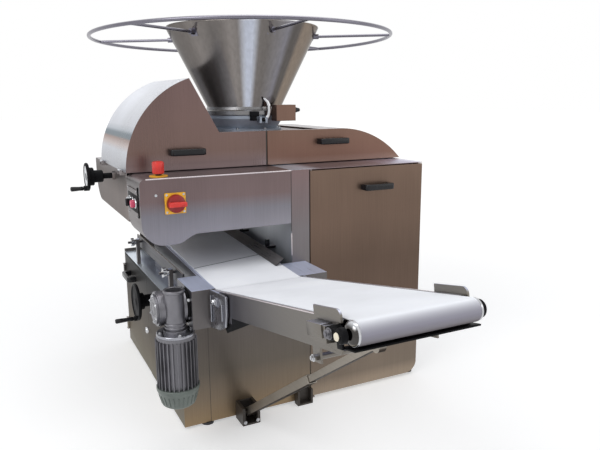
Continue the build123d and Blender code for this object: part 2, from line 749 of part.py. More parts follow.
# Clamp lever with its cross pin
with BuildPart() as hopper_clamp_lever:
    rod_x((lever_x - 18, lever_x + 18), lever_y, lever_z, lever_pin_r)
    rod_x((lever_x - 8, lever_x + 8), lever_y, lever_z, 8.0)
    rod_z(lever_x, lever_y - 4, (lever_z, lever_z + 66), 5.0)
    with Locations((lever_x, lever_y - 4, lever_z + 66)):
        Sphere(7.0)
hopper_clamp_lever.part.label = "hopper_clamp_lever"
export_step(hopper_clamp_lever.part.moved(to_middle), "parts/hopper_clamp_lever.step")

# Switch box on an arm beside the collar
with BuildPart() as safety_switch:
    block((106.0, 198.0), (245.0, 298.0), (1194.0, 1263.0))
    block((112.0, 150.0), (298.0, 322.0), (1197.0, 1212.0))
    with Locations(Location((213.0, 271.0, 1240.0), (0, 90, 0))):
        Cone(14.0, 7.0, 30.0)
safety_switch.part.label = "safety_switch"
export_step(safety_switch.part.moved(to_middle), "parts/safety_switch.step")

# Hopper: flange, neck and cone with a beaded rim, and the tilt hinge's knuckle
with BuildPart() as hopper:
    with BuildSketch(hopper_front_plane):
        Polygon(
            (cone_bottom_r - 22, flange_z),
            (flange_r, flange_z),
            (flange_r, cone_bottom_z - 14),
            (cone_bottom_r, cone_bottom_z),
            (rim_r, rim_z - rim_bead_r),
            (rim_r - sheet, rim_z - rim_bead_r),
            (cone_bottom_r - sheet, cone_bottom_z),
            (cone_bottom_r - 22, cone_bottom_z - 14),
            align=None,
        )
    revolve(axis=hopper_axis)
    with Locations((hopper_x, hopper_y, rim_z - rim_bead_r)):
        Torus(rim_r - rim_bead_r / 2, rim_bead_r)
    knuckle_x = (hopper_x - 49, hopper_x + 49)
    rod_x(knuckle_x, tilt_pin_y, tilt_pin_z, 12.0)
    block(knuckle_x, (hopper_y + cone_bottom_r, tilt_pin_y), (tilt_pin_z - 8, tilt_pin_z + 8))
    rod_x(knuckle_x, tilt_pin_y, tilt_pin_z, tilt_pin_r + running, Mode.SUBTRACT)
hopper.part.label = "hopper"
export_step(hopper.part.moved(to_middle), "parts/hopper.step")

# Guard ring, a little lower at the back, on six spokes that meet the cone in foot blocks
spoke_start_r = 250.0
spoke_foot_r = 322.0
ring_section_plane = Plane(origin=ring_plane.origin, x_dir=(1, 0, 0), z_dir=(0, -1, ring_droop))
with BuildPart(ring_plane) as guard_ring:
    for index in range(spoke_count):
        angle = spoke_first_angle + index * 360 / spoke_count
        with Locations(Location((0, 0, 0), (0, 0, angle))):
            with Locations(Location(((spoke_start_r + ring_r) / 2, 0, 0), (0, 90, 0))):
                Cylinder(spoke_r, ring_r - spoke_start_r)
            with Locations((spoke_foot_r, 0, 0)):
                Box(36, 36, 30)
    with BuildSketch(hopper_front_plane):
        Polygon(
            (0, cone_bottom_z),
            (cone_bottom_r, cone_bottom_z),
            (rim_r, rim_z - rim_bead_r),
            (0, rim_z - rim_bead_r),
            align=None,
        )
    revolve(axis=hopper_axis, mode=Mode.SUBTRACT)
    with BuildSketch(ring_section_plane):
        with Locations((ring_r, 0)):
            Circle(ring_tube_r)
    revolve(axis=Axis(ring_plane.origin, ring_normal))
guard_ring.part.label = "guard_ring"
export_step(guard_ring.part.moved(to_middle), "parts/guard_ring.step")

# Pins of every hinge, each on its own lugs
foot_z = (1000.0, hood_bottom_z - 2)
with BuildPart() as hinge_pins:
    for hinge_x, wall_x in ((left_hinge_x, body_left_x), (right_hinge_x, cabinet_right_x)):
        outer = hinge_x + (knuckle_r if hinge_x > wall_x else -knuckle_r)
        foot_x = (min(outer, wall_x), max(outer, wall_x))
        for span in hinge_spans_y:
            rod_y(hinge_x, (span[0] - 6, span[1] + 6), hood_hinge_z, knuckle_pin_r)
            for lug_y in ((span[0] - 6, span[0] - 1), (span[1] + 1, span[1] + 6)):
                rod_y(hinge_x, lug_y, hood_hinge_z, knuckle_r)
                block(foot_x, lug_y, foot_z)
                block((hinge_x - knuckle_r, hinge_x + knuckle_r), lug_y, (foot_z[1] - 1, hood_hinge_z))
    for span in side_knuckles_z:
        rod_z(side_hinge_x, side_hinge_y, (span[0] - 8, span[1] + 8), knuckle_pin_r)
        for lug_z in ((span[0] - 8, span[0] - 1), (span[1] + 1, span[1] + 8)):
            rod_z(side_hinge_x, side_hinge_y, lug_z, knuckle_r)
            lug_x = (side_hinge_x - knuckle_r, base_left_x)
            block(lug_x, (side_hinge_y + 2, back_y + 3), lug_z)
            lug_width = (side_hinge_x - knuckle_r, side_hinge_x + knuckle_r)
            block(lug_width, (side_hinge_y, side_hinge_y + 2.5), lug_z)
    rod_z(door_pin_x, door_pin_y, (door_top_z - 18, table_z - sheet), door_pin_r)
    rod_z(door_pin_x, door_pin_y, (8.0, door_bottom_z + 14), door_pin_r)
    block((door_left_x, door_left_x + 20), (front_y + 2, 50.0), (4.0, 9.0))
    block((door_left_x, door_left_x + 20), (32.0, 50.0), (9.0, rail_z[0]))
    rod_x((lug_spans_x[0][0], lug_spans_x[1][1]), tilt_pin_y, tilt_pin_z, tilt_pin_r)
hinge_pins.part.label = "hinge_pins"
export_step(hinge_pins.part.moved(to_middle), "parts/hinge_pins.step")

# Dough chamber: block between the cheek plates, hollow for the ram, the throat and the drum
chamber_x = (-60.0, 190.0)
chamber_y = (cheek_front_y[1], cheek_back_y[0])
ram_gap = 0.5
with BuildPart() as dough_chamber:
    block(chamber_x, chamber_y, (860.0, deck_z - sheet))
    rod_y(drum_x, chamber_y, drum_z, drum_r + 0.6, Mode.SUBTRACT)
    block(
        chamber_x,
        (hopper_y - ram_half_width - ram_gap, hopper_y + ram_half_width + ram_gap),
        (drum_z - ram_half_height - ram_gap, drum_z + ram_half_height + ram_gap),
        Mode.SUBTRACT,
    )
    rod_z(hopper_x, hopper_y, (drum_z, deck_z - sheet), throat_r, Mode.SUBTRACT)
dough_chamber.part.label = "dough_chamber"
export_step(dough_chamber.part.moved(to_middle), "parts/dough_chamber.step")

# Measuring drum with two cross bores, and the measuring pistons in them
pocket_r = 52.0
pocket_y = (hopper_y - 66, hopper_y + 66)
drum_y = (cheek_front_y[1] + 4, cheek_back_y[0] - 4)
with BuildPart() as divider_drum:
    rod_y(drum_x, drum_y, drum_z, drum_r)
    rod_y(drum_x, (cheek_front_y[0] - 4, cheek_back_y[1] + 4), drum_z, drum_shaft_r)
    for y in pocket_y:
        rod_x((drum_x - drum_r, drum_x + drum_r), y, drum_z, pocket_r, Mode.SUBTRACT)
divider_drum.part.label = "divider_drum"
export_step(divider_drum.part.moved(to_middle), "parts/divider_drum.step")

with BuildPart() as measuring_pistons:
    for y in pocket_y:
        rod_x((drum_x - 30, drum_x + 30), y, drum_z, pocket_r - 0.3)
measuring_pistons.part.label = "measuring_pistons"
export_step(measuring_pistons.part.moved(to_middle), "parts/measuring_pistons.step")

# Ram with the two ears that hold its crosshead pin
ear_spans_y = ((424.0, 452.0), (496.0, 524.0))
with BuildPart() as ram_piston:
    block(
        (ram_front_x, rocker_x - 50),
        (hopper_y - ram_half_width, hopper_y + ram_half_width),
        (drum_z - ram_half_height, drum_z + ram_half_height),
    )
    for span in ear_spans_y:
        block((rocker_x - 50, rocker_x + 22), span, (drum_z - 24, drum_z + 24))
    rod_y(rocker_x, (ear_spans_y[0][0], ear_spans_y[1][1]), drum_z, crosshead_pin_r)
ram_piston.part.label = "ram_piston"
export_step(ram_piston.part.moved(to_middle), "parts/ram_piston.step")

# Rocker lever: slotted upper arm for the crosshead pin, lower arm for the connecting rod
blade_y = (460.0, 488.0)
slot_half = crosshead_pin_r + 0.8
with BuildPart() as rocker_lever:
    rod_y(rocker_x, blade_y, rocker_z, 44.0)
    block((rocker_x - 24, rocker_x + 24), blade_y, (rocker_z, drum_z + 26))
    block((rocker_x - 16, rocker_x + 16), blade_y, (crank_z - 4, rocker_z))
    rod_y(rocker_x, (rocker_post_y[0][0], rocker_post_y[1][1]), rocker_z, rocker_shaft_r)
    block((rocker_x - slot_half, rocker_x + slot_half), blade_y, (drum_z - 26, drum_z + 30), Mode.SUBTRACT)
rocker_lever.part.label = "rocker_lever"
export_step(rocker_lever.part.moved(to_middle), "parts/rocker_lever.step")

# Connecting rod: eye on the crank pin, fork astride the rocker's lower arm
rod_z_level = crank_z + crank_throw
prong_spans_y = ((446.0, 457.0), (491.0, 502.0))
yoke_x = (396.0, 416.0)
with BuildPart() as con_rod:
    rod_y(crank_x, (462.0, 486.0), rod_z_level, 26.0)
    block((yoke_x[1], crank_x), (462.0, 486.0), (rod_z_level - 13, rod_z_level + 13))
    block(yoke_x, (prong_spans_y[0][0], prong_spans_y[1][1]), (rod_z_level - 15, rod_z_level + 15))
    for span in prong_spans_y:
        block((304.0, yoke_x[0]), span, (rod_z_level - 15, rod_z_level + 15))
    rod_y(crank_x, (462.0, 486.0), rod_z_level, crank_pin_r + running, Mode.SUBTRACT)
con_rod.part.label = "con_rod"
export_step(con_rod.part.moved(to_middle), "parts/con_rod.step")

# Crank disc on the gear unit's output shaft
crank_shaft_r = 18.0
gear_front_y = 516.0
with BuildPart() as crank_disc:
    rod_y(crank_x, (490.0, 512.0), crank_z, 46.0)
    rod_y(crank_x, (458.0, 490.0), rod_z_level, crank_pin_r)
    rod_y(crank_x, (512.0, 600.0), crank_z, crank_shaft_r)
crank_disc.part.label = "crank_disc"
export_step(crank_disc.part.moved(to_middle), "parts/crank_disc.step")

# Drive gearmotor on the frame's motor plate
with BuildPart() as drive_gearmotor:
    block((crank_x - 80, crank_x + 80), (gear_front_y, 660.0), (motor_plate_z[1], 490.0))
    rod_y(crank_x, (660.0, 890.0), 200.0, 85.0)
    rod_y(crank_x, (gear_front_y, 602.0), crank_z, crank_shaft_r + running, Mode.SUBTRACT)
drive_gearmotor.part.label = "drive_gearmotor"
export_step(drive_gearmotor.part.moved(to_middle), "parts/drive_gearmotor.step")


def handwheel(wheel_x, centre_y, centre_z, rim_r, hub, spindle_r, spindle_end_x, grip_angle):
    """A disc handwheel with a stepped hub on its spindle, and a pin for the crank grip."""
    with BuildPart() as wheel:
        rod_x((wheel_x - 10, spindle_end_x), centre_y, centre_z, spindle_r)
        for hub_r, hub_length in hub:
            rod_x((wheel_x, wheel_x + hub_length), centre_y, centre_z, hub_r)
        rod_x((wheel_x - 4, wheel_x + 4), centre_y, centre_z, rim_r)
        with Locations(Location((wheel_x, centre_y, centre_z), (0, 90, 0))):
            Torus(rim_r, rim_tube_r)
        pin_y = centre_y + (rim_r - 4) * cos(radians(grip_angle))
        pin_z = centre_z + (rim_r - 4) * sin(radians(grip_angle))
        rod_x((wheel_x - 20, wheel_x), pin_y, pin_z, 10.0)
        rod_x((wheel_x - 60, wheel_x - 20), pin_y, pin_z, grip_pin_r)
    return wheel.part


def crank_grip(wheel_x, centre_y, centre_z, rim_r, tip_x, grip_angle):
    """The turning grip on a handwheel's crank pin."""
    pin_y = centre_y + (rim_r - 4) * cos(radians(grip_angle))
    pin_z = centre_z + (rim_r - 4) * sin(radians(grip_angle))
    with BuildPart() as grip:
        rod_x((tip_x, wheel_x - 21), pin_y, pin_z, 10.0)
        rod_x((wheel_x - 62, wheel_x - 21), pin_y, pin_z, grip_pin_r + running, Mode.SUBTRACT)
    return grip.part


# Weight handwheel, its grip and the stop nut that it moves
spindle_end_x = -345.0
weight_handwheel = handwheel(
    weight_wheel_x,
    weight_wheel_y,
    weight_wheel_z,
    weight_rim_r,
    weight_hub,
    weight_spindle_r,
    spindle_end_x,
    weight_grip_angle,
)
weight_handwheel.label = "weight_handwheel"
export_step(weight_handwheel.moved(to_middle), "parts/weight_handwheel.step")

weight_crank_grip = crank_grip(
    weight_wheel_x, weight_wheel_y, weight_wheel_z, weight_rim_r, weight_grip_tip_x, weight_grip_angle
)
weight_crank_grip.label = "weight_crank_grip"
export_step(weight_crank_grip.moved(to_middle), "parts/weight_crank_grip.step")

with BuildPart() as stop_nut:
    block((-470.0, -410.0), (weight_wheel_y - 40, weight_wheel_y + 40), (drum_z - 32, drum_z + 34))
    rod_x((-470.0, -410.0), weight_wheel_y, weight_wheel_z, weight_spindle_r + running, Mode.SUBTRACT)
stop_nut.part.label = "stop_nut"
export_step(stop_nut.part.moved(to_middle), "parts/stop_nut.step")

# Speed handwheel on the lower left wall, and its grip
speed_handwheel = handwheel(
    speed_wheel_x,
    speed_wheel_y,
    speed_wheel_z,
    speed_rim_r,
    speed_hub,
    speed_spindle_r,
    base_left_x + 14,
    speed_grip_angle,
)
speed_handwheel.label = "speed_handwheel"
export_step(speed_handwheel.moved(to_middle), "parts/speed_handwheel.step")

speed_crank_grip = crank_grip(
    speed_wheel_x, speed_wheel_y, speed_wheel_z, speed_rim_r, speed_grip_tip_x, speed_grip_angle
)
speed_crank_grip.label = "speed_crank_grip"
export_step(speed_crank_grip.moved(to_middle), "parts/speed_crank_grip.step")

# Belt table: side plates, bed, front brackets and the outfeed's pivot lugs
plate_y = (-195.0, 665.0)
bed_drop = belt_thickness + 1.0
guide_post_y = (150.0, 755.0)
guide_stud_z = 610.0
guide_stud_r = 6.0
guide_post_x = (-424.0, -408.0)
left_lug_x = (-366.0, -358.0)
right_lug_x = (4.0, 12.0)
lug_corner_r = 12.0


def front_bracket(x, wall_x):
    """A sheet-metal bracket box on the front panel, open below and behind."""
    bracket_y = (bracket_front_y, front_y)
    block(x, bracket_y, (bracket_bottom_z, bracket_top_z))
    block(
        wall_x,
        (bracket_front_y + sheet, front_y),
        (bracket_bottom_z, bracket_top_z - sheet),
        Mode.SUBTRACT,
    )


with BuildPart() as belt_table:
    front_bracket(left_bracket_x, (left_bracket_x[0] + sheet, left_bracket_x[1] - sheet))
    front_bracket(right_bracket_x, (right_bracket_x[0] + sheet, right_bracket_x[1] - sheet))
    for plate_x in (left_plate_x, right_plate_x):
        with BuildSketch(Plane.YZ.offset(plate_x[0])):
            Polygon(
                (front_y, base_top_z),
                (plate_y[1], base_top_z),
                (plate_y[1], belt_height(plate_y[1]) - 6),
                (plate_y[0], belt_height(plate_y[0]) - 6),
                (plate_y[0], bracket_bottom_z),
                (front_y, bracket_bottom_z),
                align=None,
            )
        extrude(amount=plate_x[1] - plate_x[0])
    with BuildSketch(Plane.YZ.offset(left_plate_x[1])):
        Polygon(
            (plate_y[0], belt_height(plate_y[0]) - bed_drop),
            (tail_y - 40, belt_height(tail_y - 40) - bed_drop),
            (tail_y - 40, belt_height(tail_y - 40) - bed_drop - sheet),
            (plate_y[0], belt_height(plate_y[0]) - bed_drop - sheet),
            align=None,
        )
    extrude(amount=right_plate_x[0] - left_plate_x[1])
    for lug_x in (left_lug_x, right_lug_x):
        with BuildSketch(Plane.YZ.offset(lug_x[0])) as lug:
            Polygon(
                (bracket_front_y, 627.0),
                (bracket_front_y, 486.0),
                (-300.0, 509.0),
                (-350.0, 536.0),
                (-364.0, 585.0),
                (-364.0, 646.0),
                (-338.0, 646.0),
                align=None,
            )
            front_corners = lug.vertices().filter_by(lambda corner: corner.Y < bracket_front_y - 1)
            fillet(front_corners, lug_corner_r)
        extrude(amount=lug_x[1] - lug_x[0])
    rod_x((left_lug_x[0], outfeed_plate_left_x[1] + 4), outfeed_pivot_y, outfeed_pivot_z, outfeed_pin_r)
    rod_x((outfeed_plate_right_x[0] - 4, right_lug_x[1]), outfeed_pivot_y, outfeed_pivot_z, outfeed_pin_r)
    for y in guide_post_y:
        block(guide_post_x, (y - 11, y + 11), (base_top_z, guide_stud_z + 14))
        rod_x(guide_post_x, y, guide_stud_z, guide_stud_r + running, Mode.SUBTRACT)
    shaft_x = (left_bracket_x[0], right_plate_x[1])
    rod_x(shaft_x, drive_y, drive_z, drive_shaft_r + running, Mode.SUBTRACT)
    rod_x(shaft_x, tail_y, tail_z, tail_shaft_r + running, Mode.SUBTRACT)
belt_table.part.label = "belt_table"
export_step(belt_table.part.moved(to_middle), "parts/belt_table.step")

# Belt inside the machine: upper run, wrap round the tail roller, lower run under the drive roller
half_belt = belt_thickness / 2
tail_path_r = tail_roller_r + roller_gap + half_belt
drive_path_z = drive_z - drive_roller_r - roller_gap - half_belt - 0.8
with BuildPart() as transfer_belt:
    with BuildSketch(Plane.YZ.offset(belt_left_x)):
        with BuildLine():
            Line((crease_y + 4, belt_height(crease_y + 4) - half_belt), (tail_y, tail_z + tail_path_r))
            ThreePointArc(
                (tail_y, tail_z + tail_path_r), (tail_y + tail_path_r, tail_z), (tail_y, tail_z - tail_path_r)
            )
            Polyline(
                (tail_y, tail_z - tail_path_r),
                (drive_y + 21, drive_path_z),
                (drive_y - 21, drive_path_z),
                (crease_y - 21, 568.0),
            )
        trace(line_width=belt_thickness)
    extrude(amount=belt_width)
transfer_belt.part.label = "transfer_belt"
export_step(transfer_belt.part.moved(to_middle), "parts/transfer_belt.step")

# Rollers of the belt
roller_x = (belt_left_x + 2, belt_right_x - 2)
with BuildPart() as belt_drive_roller:
    rod_x(roller_x, drive_y, drive_z, drive_roller_r)
    rod_x((-520.0, right_plate_x[1]), drive_y, drive_z, drive_shaft_r)
belt_drive_roller.part.label = "belt_drive_roller"
export_step(belt_drive_roller.part.moved(to_middle), "parts/belt_drive_roller.step")

with BuildPart() as belt_tail_roller:
    rod_x(roller_x, tail_y, tail_z, tail_roller_r)
    rod_x((left_plate_x[0], right_plate_x[1]), tail_y, tail_z, tail_shaft_r)
belt_tail_roller.part.label = "belt_tail_roller"
export_step(belt_tail_roller.part.moved(to_middle), "parts/belt_tail_roller.step")

# Left guide rail on two studs, with star knobs that clamp them
rail_x = (-398.0, -391.0)
with BuildPart() as left_guide_rail:
    block(rail_x, (36.0, 849.0), (574.0, 628.0))
    for y in guide_post_y:
        rod_x((-462.0, rail_x[0]), y, guide_stud_z, guide_stud_r)
left_guide_rail.part.label = "left_guide_rail"
export_step(left_guide_rail.part.moved(to_middle), "parts/left_guide_rail.step")

knob_x = (guide_post_x[0] - 24, guide_post_x[0])
with BuildPart() as guide_clamp_knobs:
    for y in guide_post_y:
        rod_x(knob_x, y, guide_stud_z, 13.0)
        for lobe in range(5):
            angle = radians(lobe * 72)
            rod_x(
                (knob_x[0], knob_x[0] + 14),
                y + 14 * cos(angle),
                guide_stud_z + 14 * sin(angle),
                7.0,
            )
        rod_x(knob_x, y, guide_stud_z, guide_stud_r + running, Mode.SUBTRACT)
guide_clamp_knobs.part.label = "guide_clamp_knobs"
export_step(guide_clamp_knobs.part.moved(to_middle), "parts/guide_clamp_knobs.step")

# Right guide: a slanting strip along the belt's right edge, on brackets from the tunnel wall
strip_foot_x = -42.0
strip_head_x = -6.0
strip_rise = 24.0
strip_thickness = 5.0
strip_y = (-48.0, 610.0)
with BuildPart() as right_guide_rail:
    strip_plane = Plane(
        origin=(0, strip_y[0], belt_height(strip_y[0]) + 2),
        x_dir=(1, 0, 0),
        z_dir=(0, -1, -belt_slope),
    )
    with BuildSketch(strip_plane):
        Polygon(
            (strip_foot_x, 0),
            (strip_foot_x + strip_thickness, 0),
            (strip_head_x + strip_thickness, strip_rise),
            (strip_head_x, strip_rise + 3),
            align=None,
        )
    extrude(amount=-(strip_y[1] - strip_y[0]))
    for y in (160.0, 470.0):
        foot_height = belt_height(y) + strip_rise
        block((strip_head_x - 2, jamb_left_x), (y - 12, y + 12), (foot_height - 8, foot_height + 2))
        block((6.0, 22.0), (y - 8, y + 8), (foot_height + 2, foot_height + 30))
right_guide_rail.part.label = "right_guide_rail"
export_step(right_guide_rail.part.moved(to_middle), "parts/right_guide_rail.step")

# Belt gearmotor: worm gearbox on the left bracket, with the motor hanging below it
worm_x = -490.0
worm_y = -173.0
wheel_case_x = (-545.0, -445.0)
with BuildPart() as gearbox_housing:
    rod_z(worm_x, worm_y, (484.0, 638.0), 34.5)
    rod_z(worm_x, worm_y, (630.0, 638.0), 37.0)
    rod_x(wheel_case_x, drive_y, drive_z, 62.0)
    rod_x((wheel_case_x[0] - 6, wheel_case_x[0]), drive_y, drive_z, 54.0)
    rod_x((wheel_case_x[1], left_bracket_x[0]), drive_y, drive_z, 46.0)
    rod_z(worm_x, worm_y, (475.0, 484.0), 63.0)
    rod_z(worm_x, worm_y, (484.0, 496.0), 42.0)
    rod_z(worm_x, worm_y, (610.0, 638.0), 29.0, Mode.SUBTRACT)
    rod_x((-524.0, left_bracket_x[0]), drive_y, drive_z, drive_shaft_r + running, Mode.SUBTRACT)
gearbox_housing.part.label = "gearbox_housing"
export_step(gearbox_housing.part.moved(to_middle), "parts/gearbox_housing.step")

fin_count = 28
with BuildPart() as belt_motor:
    rod_z(worm_x, worm_y, (285.0, 475.0), 63.0)
    rod_z(worm_x, worm_y, (463.0, 475.0), 68.0)
    with Locations((worm_x, worm_y, 374.0)):
        with PolarLocations(67.0, fin_count):
            Box(14, 3, 178)
    block((worm_x - 34, worm_x + 34), (worm_y + 55, worm_y + 112), (345.0, 425.0))
belt_motor.part.label = "belt_motor"
export_step(belt_motor.part.moved(to_middle), "parts/belt_motor.step")

with BuildPart() as fan_cover:
    with BuildSketch(Plane(origin=(worm_x, worm_y, 0), x_dir=(1, 0, 0), z_dir=(0, -1, 0))):
        Polygon((0, 209), (50, 209), (59, 216), (72, 262), (77, 272), (77, 285), (0, 285), align=None)
    revolve(axis=Axis((worm_x, worm_y, 0), (0, 0, 1)))
fan_cover.part.label = "fan_cover"
export_step(fan_cover.part.moved(to_middle), "parts/fan_cover.step")

# Outfeed frame: side plates with pivot ends, bed, cross tubes, end guards, take-up blocks, strut shaft
pivot_u = (outfeed_pivot_y - crease_y) * -incline_cos + (outfeed_pivot_z - crease_z) * incline_sin
pivot_w = (outfeed_pivot_y - crease_y) * incline_sin + (outfeed_pivot_z - crease_z) * incline_cos
strut_lug_u = (strut_top_u - 20, strut_top_u + 20)
strut_lug_w = (strut_top_w - 14, -outfeed_depth)
guards_x = ((-361.0, -355.0), (1.0, 7.0))
take_ups_x = ((-381.0, -355.0), (1.0, 27.0))


def outfeed_side(x):
    """A plane across the outfeed: its x runs outwards along the belt, its y down from the belt's face."""
    return Plane(
        origin=(x, crease_y, crease_z), x_dir=(0, -incline_cos, incline_sin), z_dir=(1, 0, 0)
    )


with BuildPart(outfeed_plane) as outfeed_frame:
    for plate_x in (outfeed_plate_left_x, outfeed_plate_right_x):
        along(plate_x, (outfeed_start, outfeed_plate_end), (-outfeed_depth, 0))
        along(plate_x, (outfeed_start, 165.0), (-outfeed_depth - 20, -outfeed_depth))
        along(plate_x, strut_lug_u, strut_lug_w)
    inside_x = (outfeed_plate_left_x[1], outfeed_plate_right_x[0])
    along(inside_x, (30.0, 915.0), (-belt_thickness - 4, -belt_thickness - 1))
    for u in (150.0, 500.0, 850.0):
        rod_x(inside_x, -u, -34.0, 10.0)
    rod_x((-365.0, 11.0), -strut_top_u, strut_top_w, strut_pin_r)
    for block_x in take_ups_x:
        along(block_x, (805.0, 885.0), (-58.0, -16.0))
    for guard_x in guards_x:
        with BuildSketch(outfeed_side(guard_x[0])):
            with BuildLine():
                Polyline((907, -22), (795, -22), (795, 9), (925, 9), (925, -4))
                RadiusArc((925, -4), (907, -22), 18)
            make_face()
        extrude(amount=guard_x[1] - guard_x[0])
    for plate_x in (outfeed_plate_left_x, outfeed_plate_right_x):
        rod_x(plate_x, -pivot_u, pivot_w, outfeed_pin_r + running, Mode.SUBTRACT)
outfeed_frame.part.label = "outfeed_frame"
export_step(outfeed_frame.part.moved(to_middle), "parts/outfeed_frame.step")

# Belt on the outfeed: upper run, wrap round the end roller, lower run
end_path_r = end_roller_r + roller_gap + half_belt
with BuildPart() as outfeed_belt:
    with BuildSketch(outfeed_side(belt_left_x)):
        with BuildLine():
            Line((outfeed_start, half_belt), (end_roller_u, half_belt))
            ThreePointArc(
                (end_roller_u, half_belt),
                (end_roller_u + end_path_r, half_belt + end_path_r),
                (end_roller_u, half_belt + 2 * end_path_r),
            )
            Line((end_roller_u, half_belt + 2 * end_path_r), (outfeed_start + 6, half_belt + 2 * end_path_r))
        trace(line_width=belt_thickness)
    extrude(amount=belt_width)
outfeed_belt.part.label = "outfeed_belt"
export_step(outfeed_belt.part.moved(to_middle), "parts/outfeed_belt.step")

# End roller, and the black bearing arms and scraper at the outfeed's end
with BuildPart(outfeed_plane) as outfeed_end_roller:
    rod_x(roller_x, -end_roller_u, end_roller_w, end_roller_r)
    for disc_x in ((-351.5, roller_x[0] - 3), (roller_x[1] + 3, -2.5)):
        rod_x(disc_x, -end_roller_u, end_roller_w, end_roller_r + belt_thickness)
    rod_x((-392.0, 16.0), -end_roller_u, end_roller_w, end_shaft_r)
outfeed_end_roller.part.label = "outfeed_end_roller"
export_step(outfeed_end_roller.part.moved(to_middle), "parts/outfeed_end_roller.step")

arms_x = ((-361.0, -355.0), (1.0, 7.0))
bearings_x = ((-386.0, -361.0), (7.0, 14.0))
bosses_x = ((-384.0, -361.0), (7.0, 12.0))
scraper_u = (925.0, 965.0)
scraper_w = (-70.0, -65.0)
with BuildPart(outfeed_plane) as outfeed_bearings:
    for arm_x, bearing_x, boss_x in zip(arms_x, bearings_x, bosses_x):
        along(arm_x, (888.0, 975.0), (-56.0, -10.0))
        along(arm_x, scraper_u, (scraper_w[0], -56.0))
        rod_x(bearing_x, -end_roller_u, end_roller_w, 22.0)
        rod_x(boss_x, -907.0, -30.0, 17.0)
        span = (min(arm_x[0], bearing_x[0]), max(arm_x[1], bearing_x[1]))
        rod_x(span, -end_roller_u, end_roller_w, end_shaft_r + running, Mode.SUBTRACT)
    along((arms_x[0][1], arms_x[1][0]), scraper_u, scraper_w)
outfeed_bearings.part.label = "outfeed_bearings"
export_step(outfeed_bearings.part.moved(to_middle), "parts/outfeed_bearings.step")

# Floor brackets: the strut's bracket with its pin, and a second block further right
cheeks_x = ((belt_x - 38, belt_x - 26), (belt_x + 26, belt_x + 38))
with BuildPart() as strut_bracket:
    for span in cheeks_x:
        block(span, (strut_foot_y - 22, front_y), (0, 76.0))
    block((cheeks_x[0][0], cheeks_x[1][1]), (strut_foot_y - 22, front_y), (0, 8.0))
    block((cheeks_x[0][0], cheeks_x[1][1]), (front_y - 8, front_y), (0, 76.0))
    rod_x((cheeks_x[0][0], cheeks_x[1][1]), strut_foot_y, strut_foot_z, strut_pin_r)
    for span in ((55.0, 65.0), (117.0, 127.0)):
        block(span, (-46.0, front_y), (0, 66.0))
    block((55.0, 127.0), (-46.0, front_y), (0, 8.0))
    block((55.0, 127.0), (front_y - 8, front_y), (0, 66.0))
strut_bracket.part.label = "strut_bracket"
export_step(strut_bracket.part.moved(to_middle), "parts/strut_bracket.step")

# Telescopic strut: outer tube on the floor bracket's pin, inner bar with an eye on the outfeed's shaft
strut_plane = Plane(
    origin=(belt_x, strut_foot_y, strut_foot_z), x_dir=(1, 0, 0), z_dir=strut_direction
)
half_tube = strut_outer / 2
half_bar = strut_inner / 2
half_bore = half_bar + 0.5
strut_eye_r = 22.0
eye_room = 2.0
with BuildPart(strut_plane) as strut_tube:
    rod_x((-half_tube, half_tube), 0, 0, 18.0)
    block((-half_tube, half_tube), (-half_tube, half_tube), (0, strut_tube_end))
    block((-half_bore, half_bore), (-half_bore, half_bore), (40.0, strut_tube_end), Mode.SUBTRACT)
    rod_x((-half_tube, half_tube), 0, 0, strut_pin_r + running, Mode.SUBTRACT)
strut_tube.part.label = "strut_tube"
export_step(strut_tube.part.moved(to_middle), "parts/strut_tube.step")

with BuildPart(strut_plane) as strut_rod:
    block((-half_bar, half_bar), (-half_bar, half_bar), (strut_rod_start, strut_length))
    rod_x((-half_bar, half_bar), 0, strut_length, strut_eye_r)
    rod_x((-half_bar, half_bar), 0, strut_length, strut_pin_r + eye_room, Mode.SUBTRACT)
strut_rod.part.label = "strut_rod"
export_step(strut_rod.part.moved(to_middle), "parts/strut_rod.step")
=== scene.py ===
"""Looks of the dough divider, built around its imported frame. Drawn sizes are in millimetres."""

import math

import bmesh
import bpy
from mathutils import Matrix, Vector


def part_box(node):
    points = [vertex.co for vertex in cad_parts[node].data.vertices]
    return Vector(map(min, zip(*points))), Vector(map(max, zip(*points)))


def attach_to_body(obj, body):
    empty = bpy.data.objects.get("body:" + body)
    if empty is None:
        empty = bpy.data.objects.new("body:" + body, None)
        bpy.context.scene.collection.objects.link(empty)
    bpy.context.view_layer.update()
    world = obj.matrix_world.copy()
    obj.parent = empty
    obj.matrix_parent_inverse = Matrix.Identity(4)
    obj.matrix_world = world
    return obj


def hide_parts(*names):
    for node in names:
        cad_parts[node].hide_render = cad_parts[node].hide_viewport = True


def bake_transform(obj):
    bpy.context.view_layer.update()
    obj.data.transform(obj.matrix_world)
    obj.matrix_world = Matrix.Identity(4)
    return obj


bl_info = {
    "name": "Dough divider looks",
    "version": (1, 1, 0),
    "blender": (4, 5, 0),
    "location": "View3D > Sidebar > Dough divider",
    "description": "Dresses the dough divider's solids with folded, turned, moulded and brushed pieces",
    "category": "Object",
}

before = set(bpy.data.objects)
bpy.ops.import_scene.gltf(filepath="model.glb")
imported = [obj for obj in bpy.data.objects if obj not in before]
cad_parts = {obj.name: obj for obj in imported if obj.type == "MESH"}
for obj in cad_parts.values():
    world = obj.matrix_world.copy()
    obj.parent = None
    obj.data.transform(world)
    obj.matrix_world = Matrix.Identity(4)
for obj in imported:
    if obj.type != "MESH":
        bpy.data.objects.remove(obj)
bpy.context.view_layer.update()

MM = 0.001

# The part was drawn about another origin; the deck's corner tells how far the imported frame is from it
DECK_CORNER = (-172.0, 201.0)
deck_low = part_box("top_deck")[0]
SHIFT = Vector((deck_low.x - DECK_CORNER[0] * MM, deck_low.y - DECK_CORNER[1] * MM, 0.0))

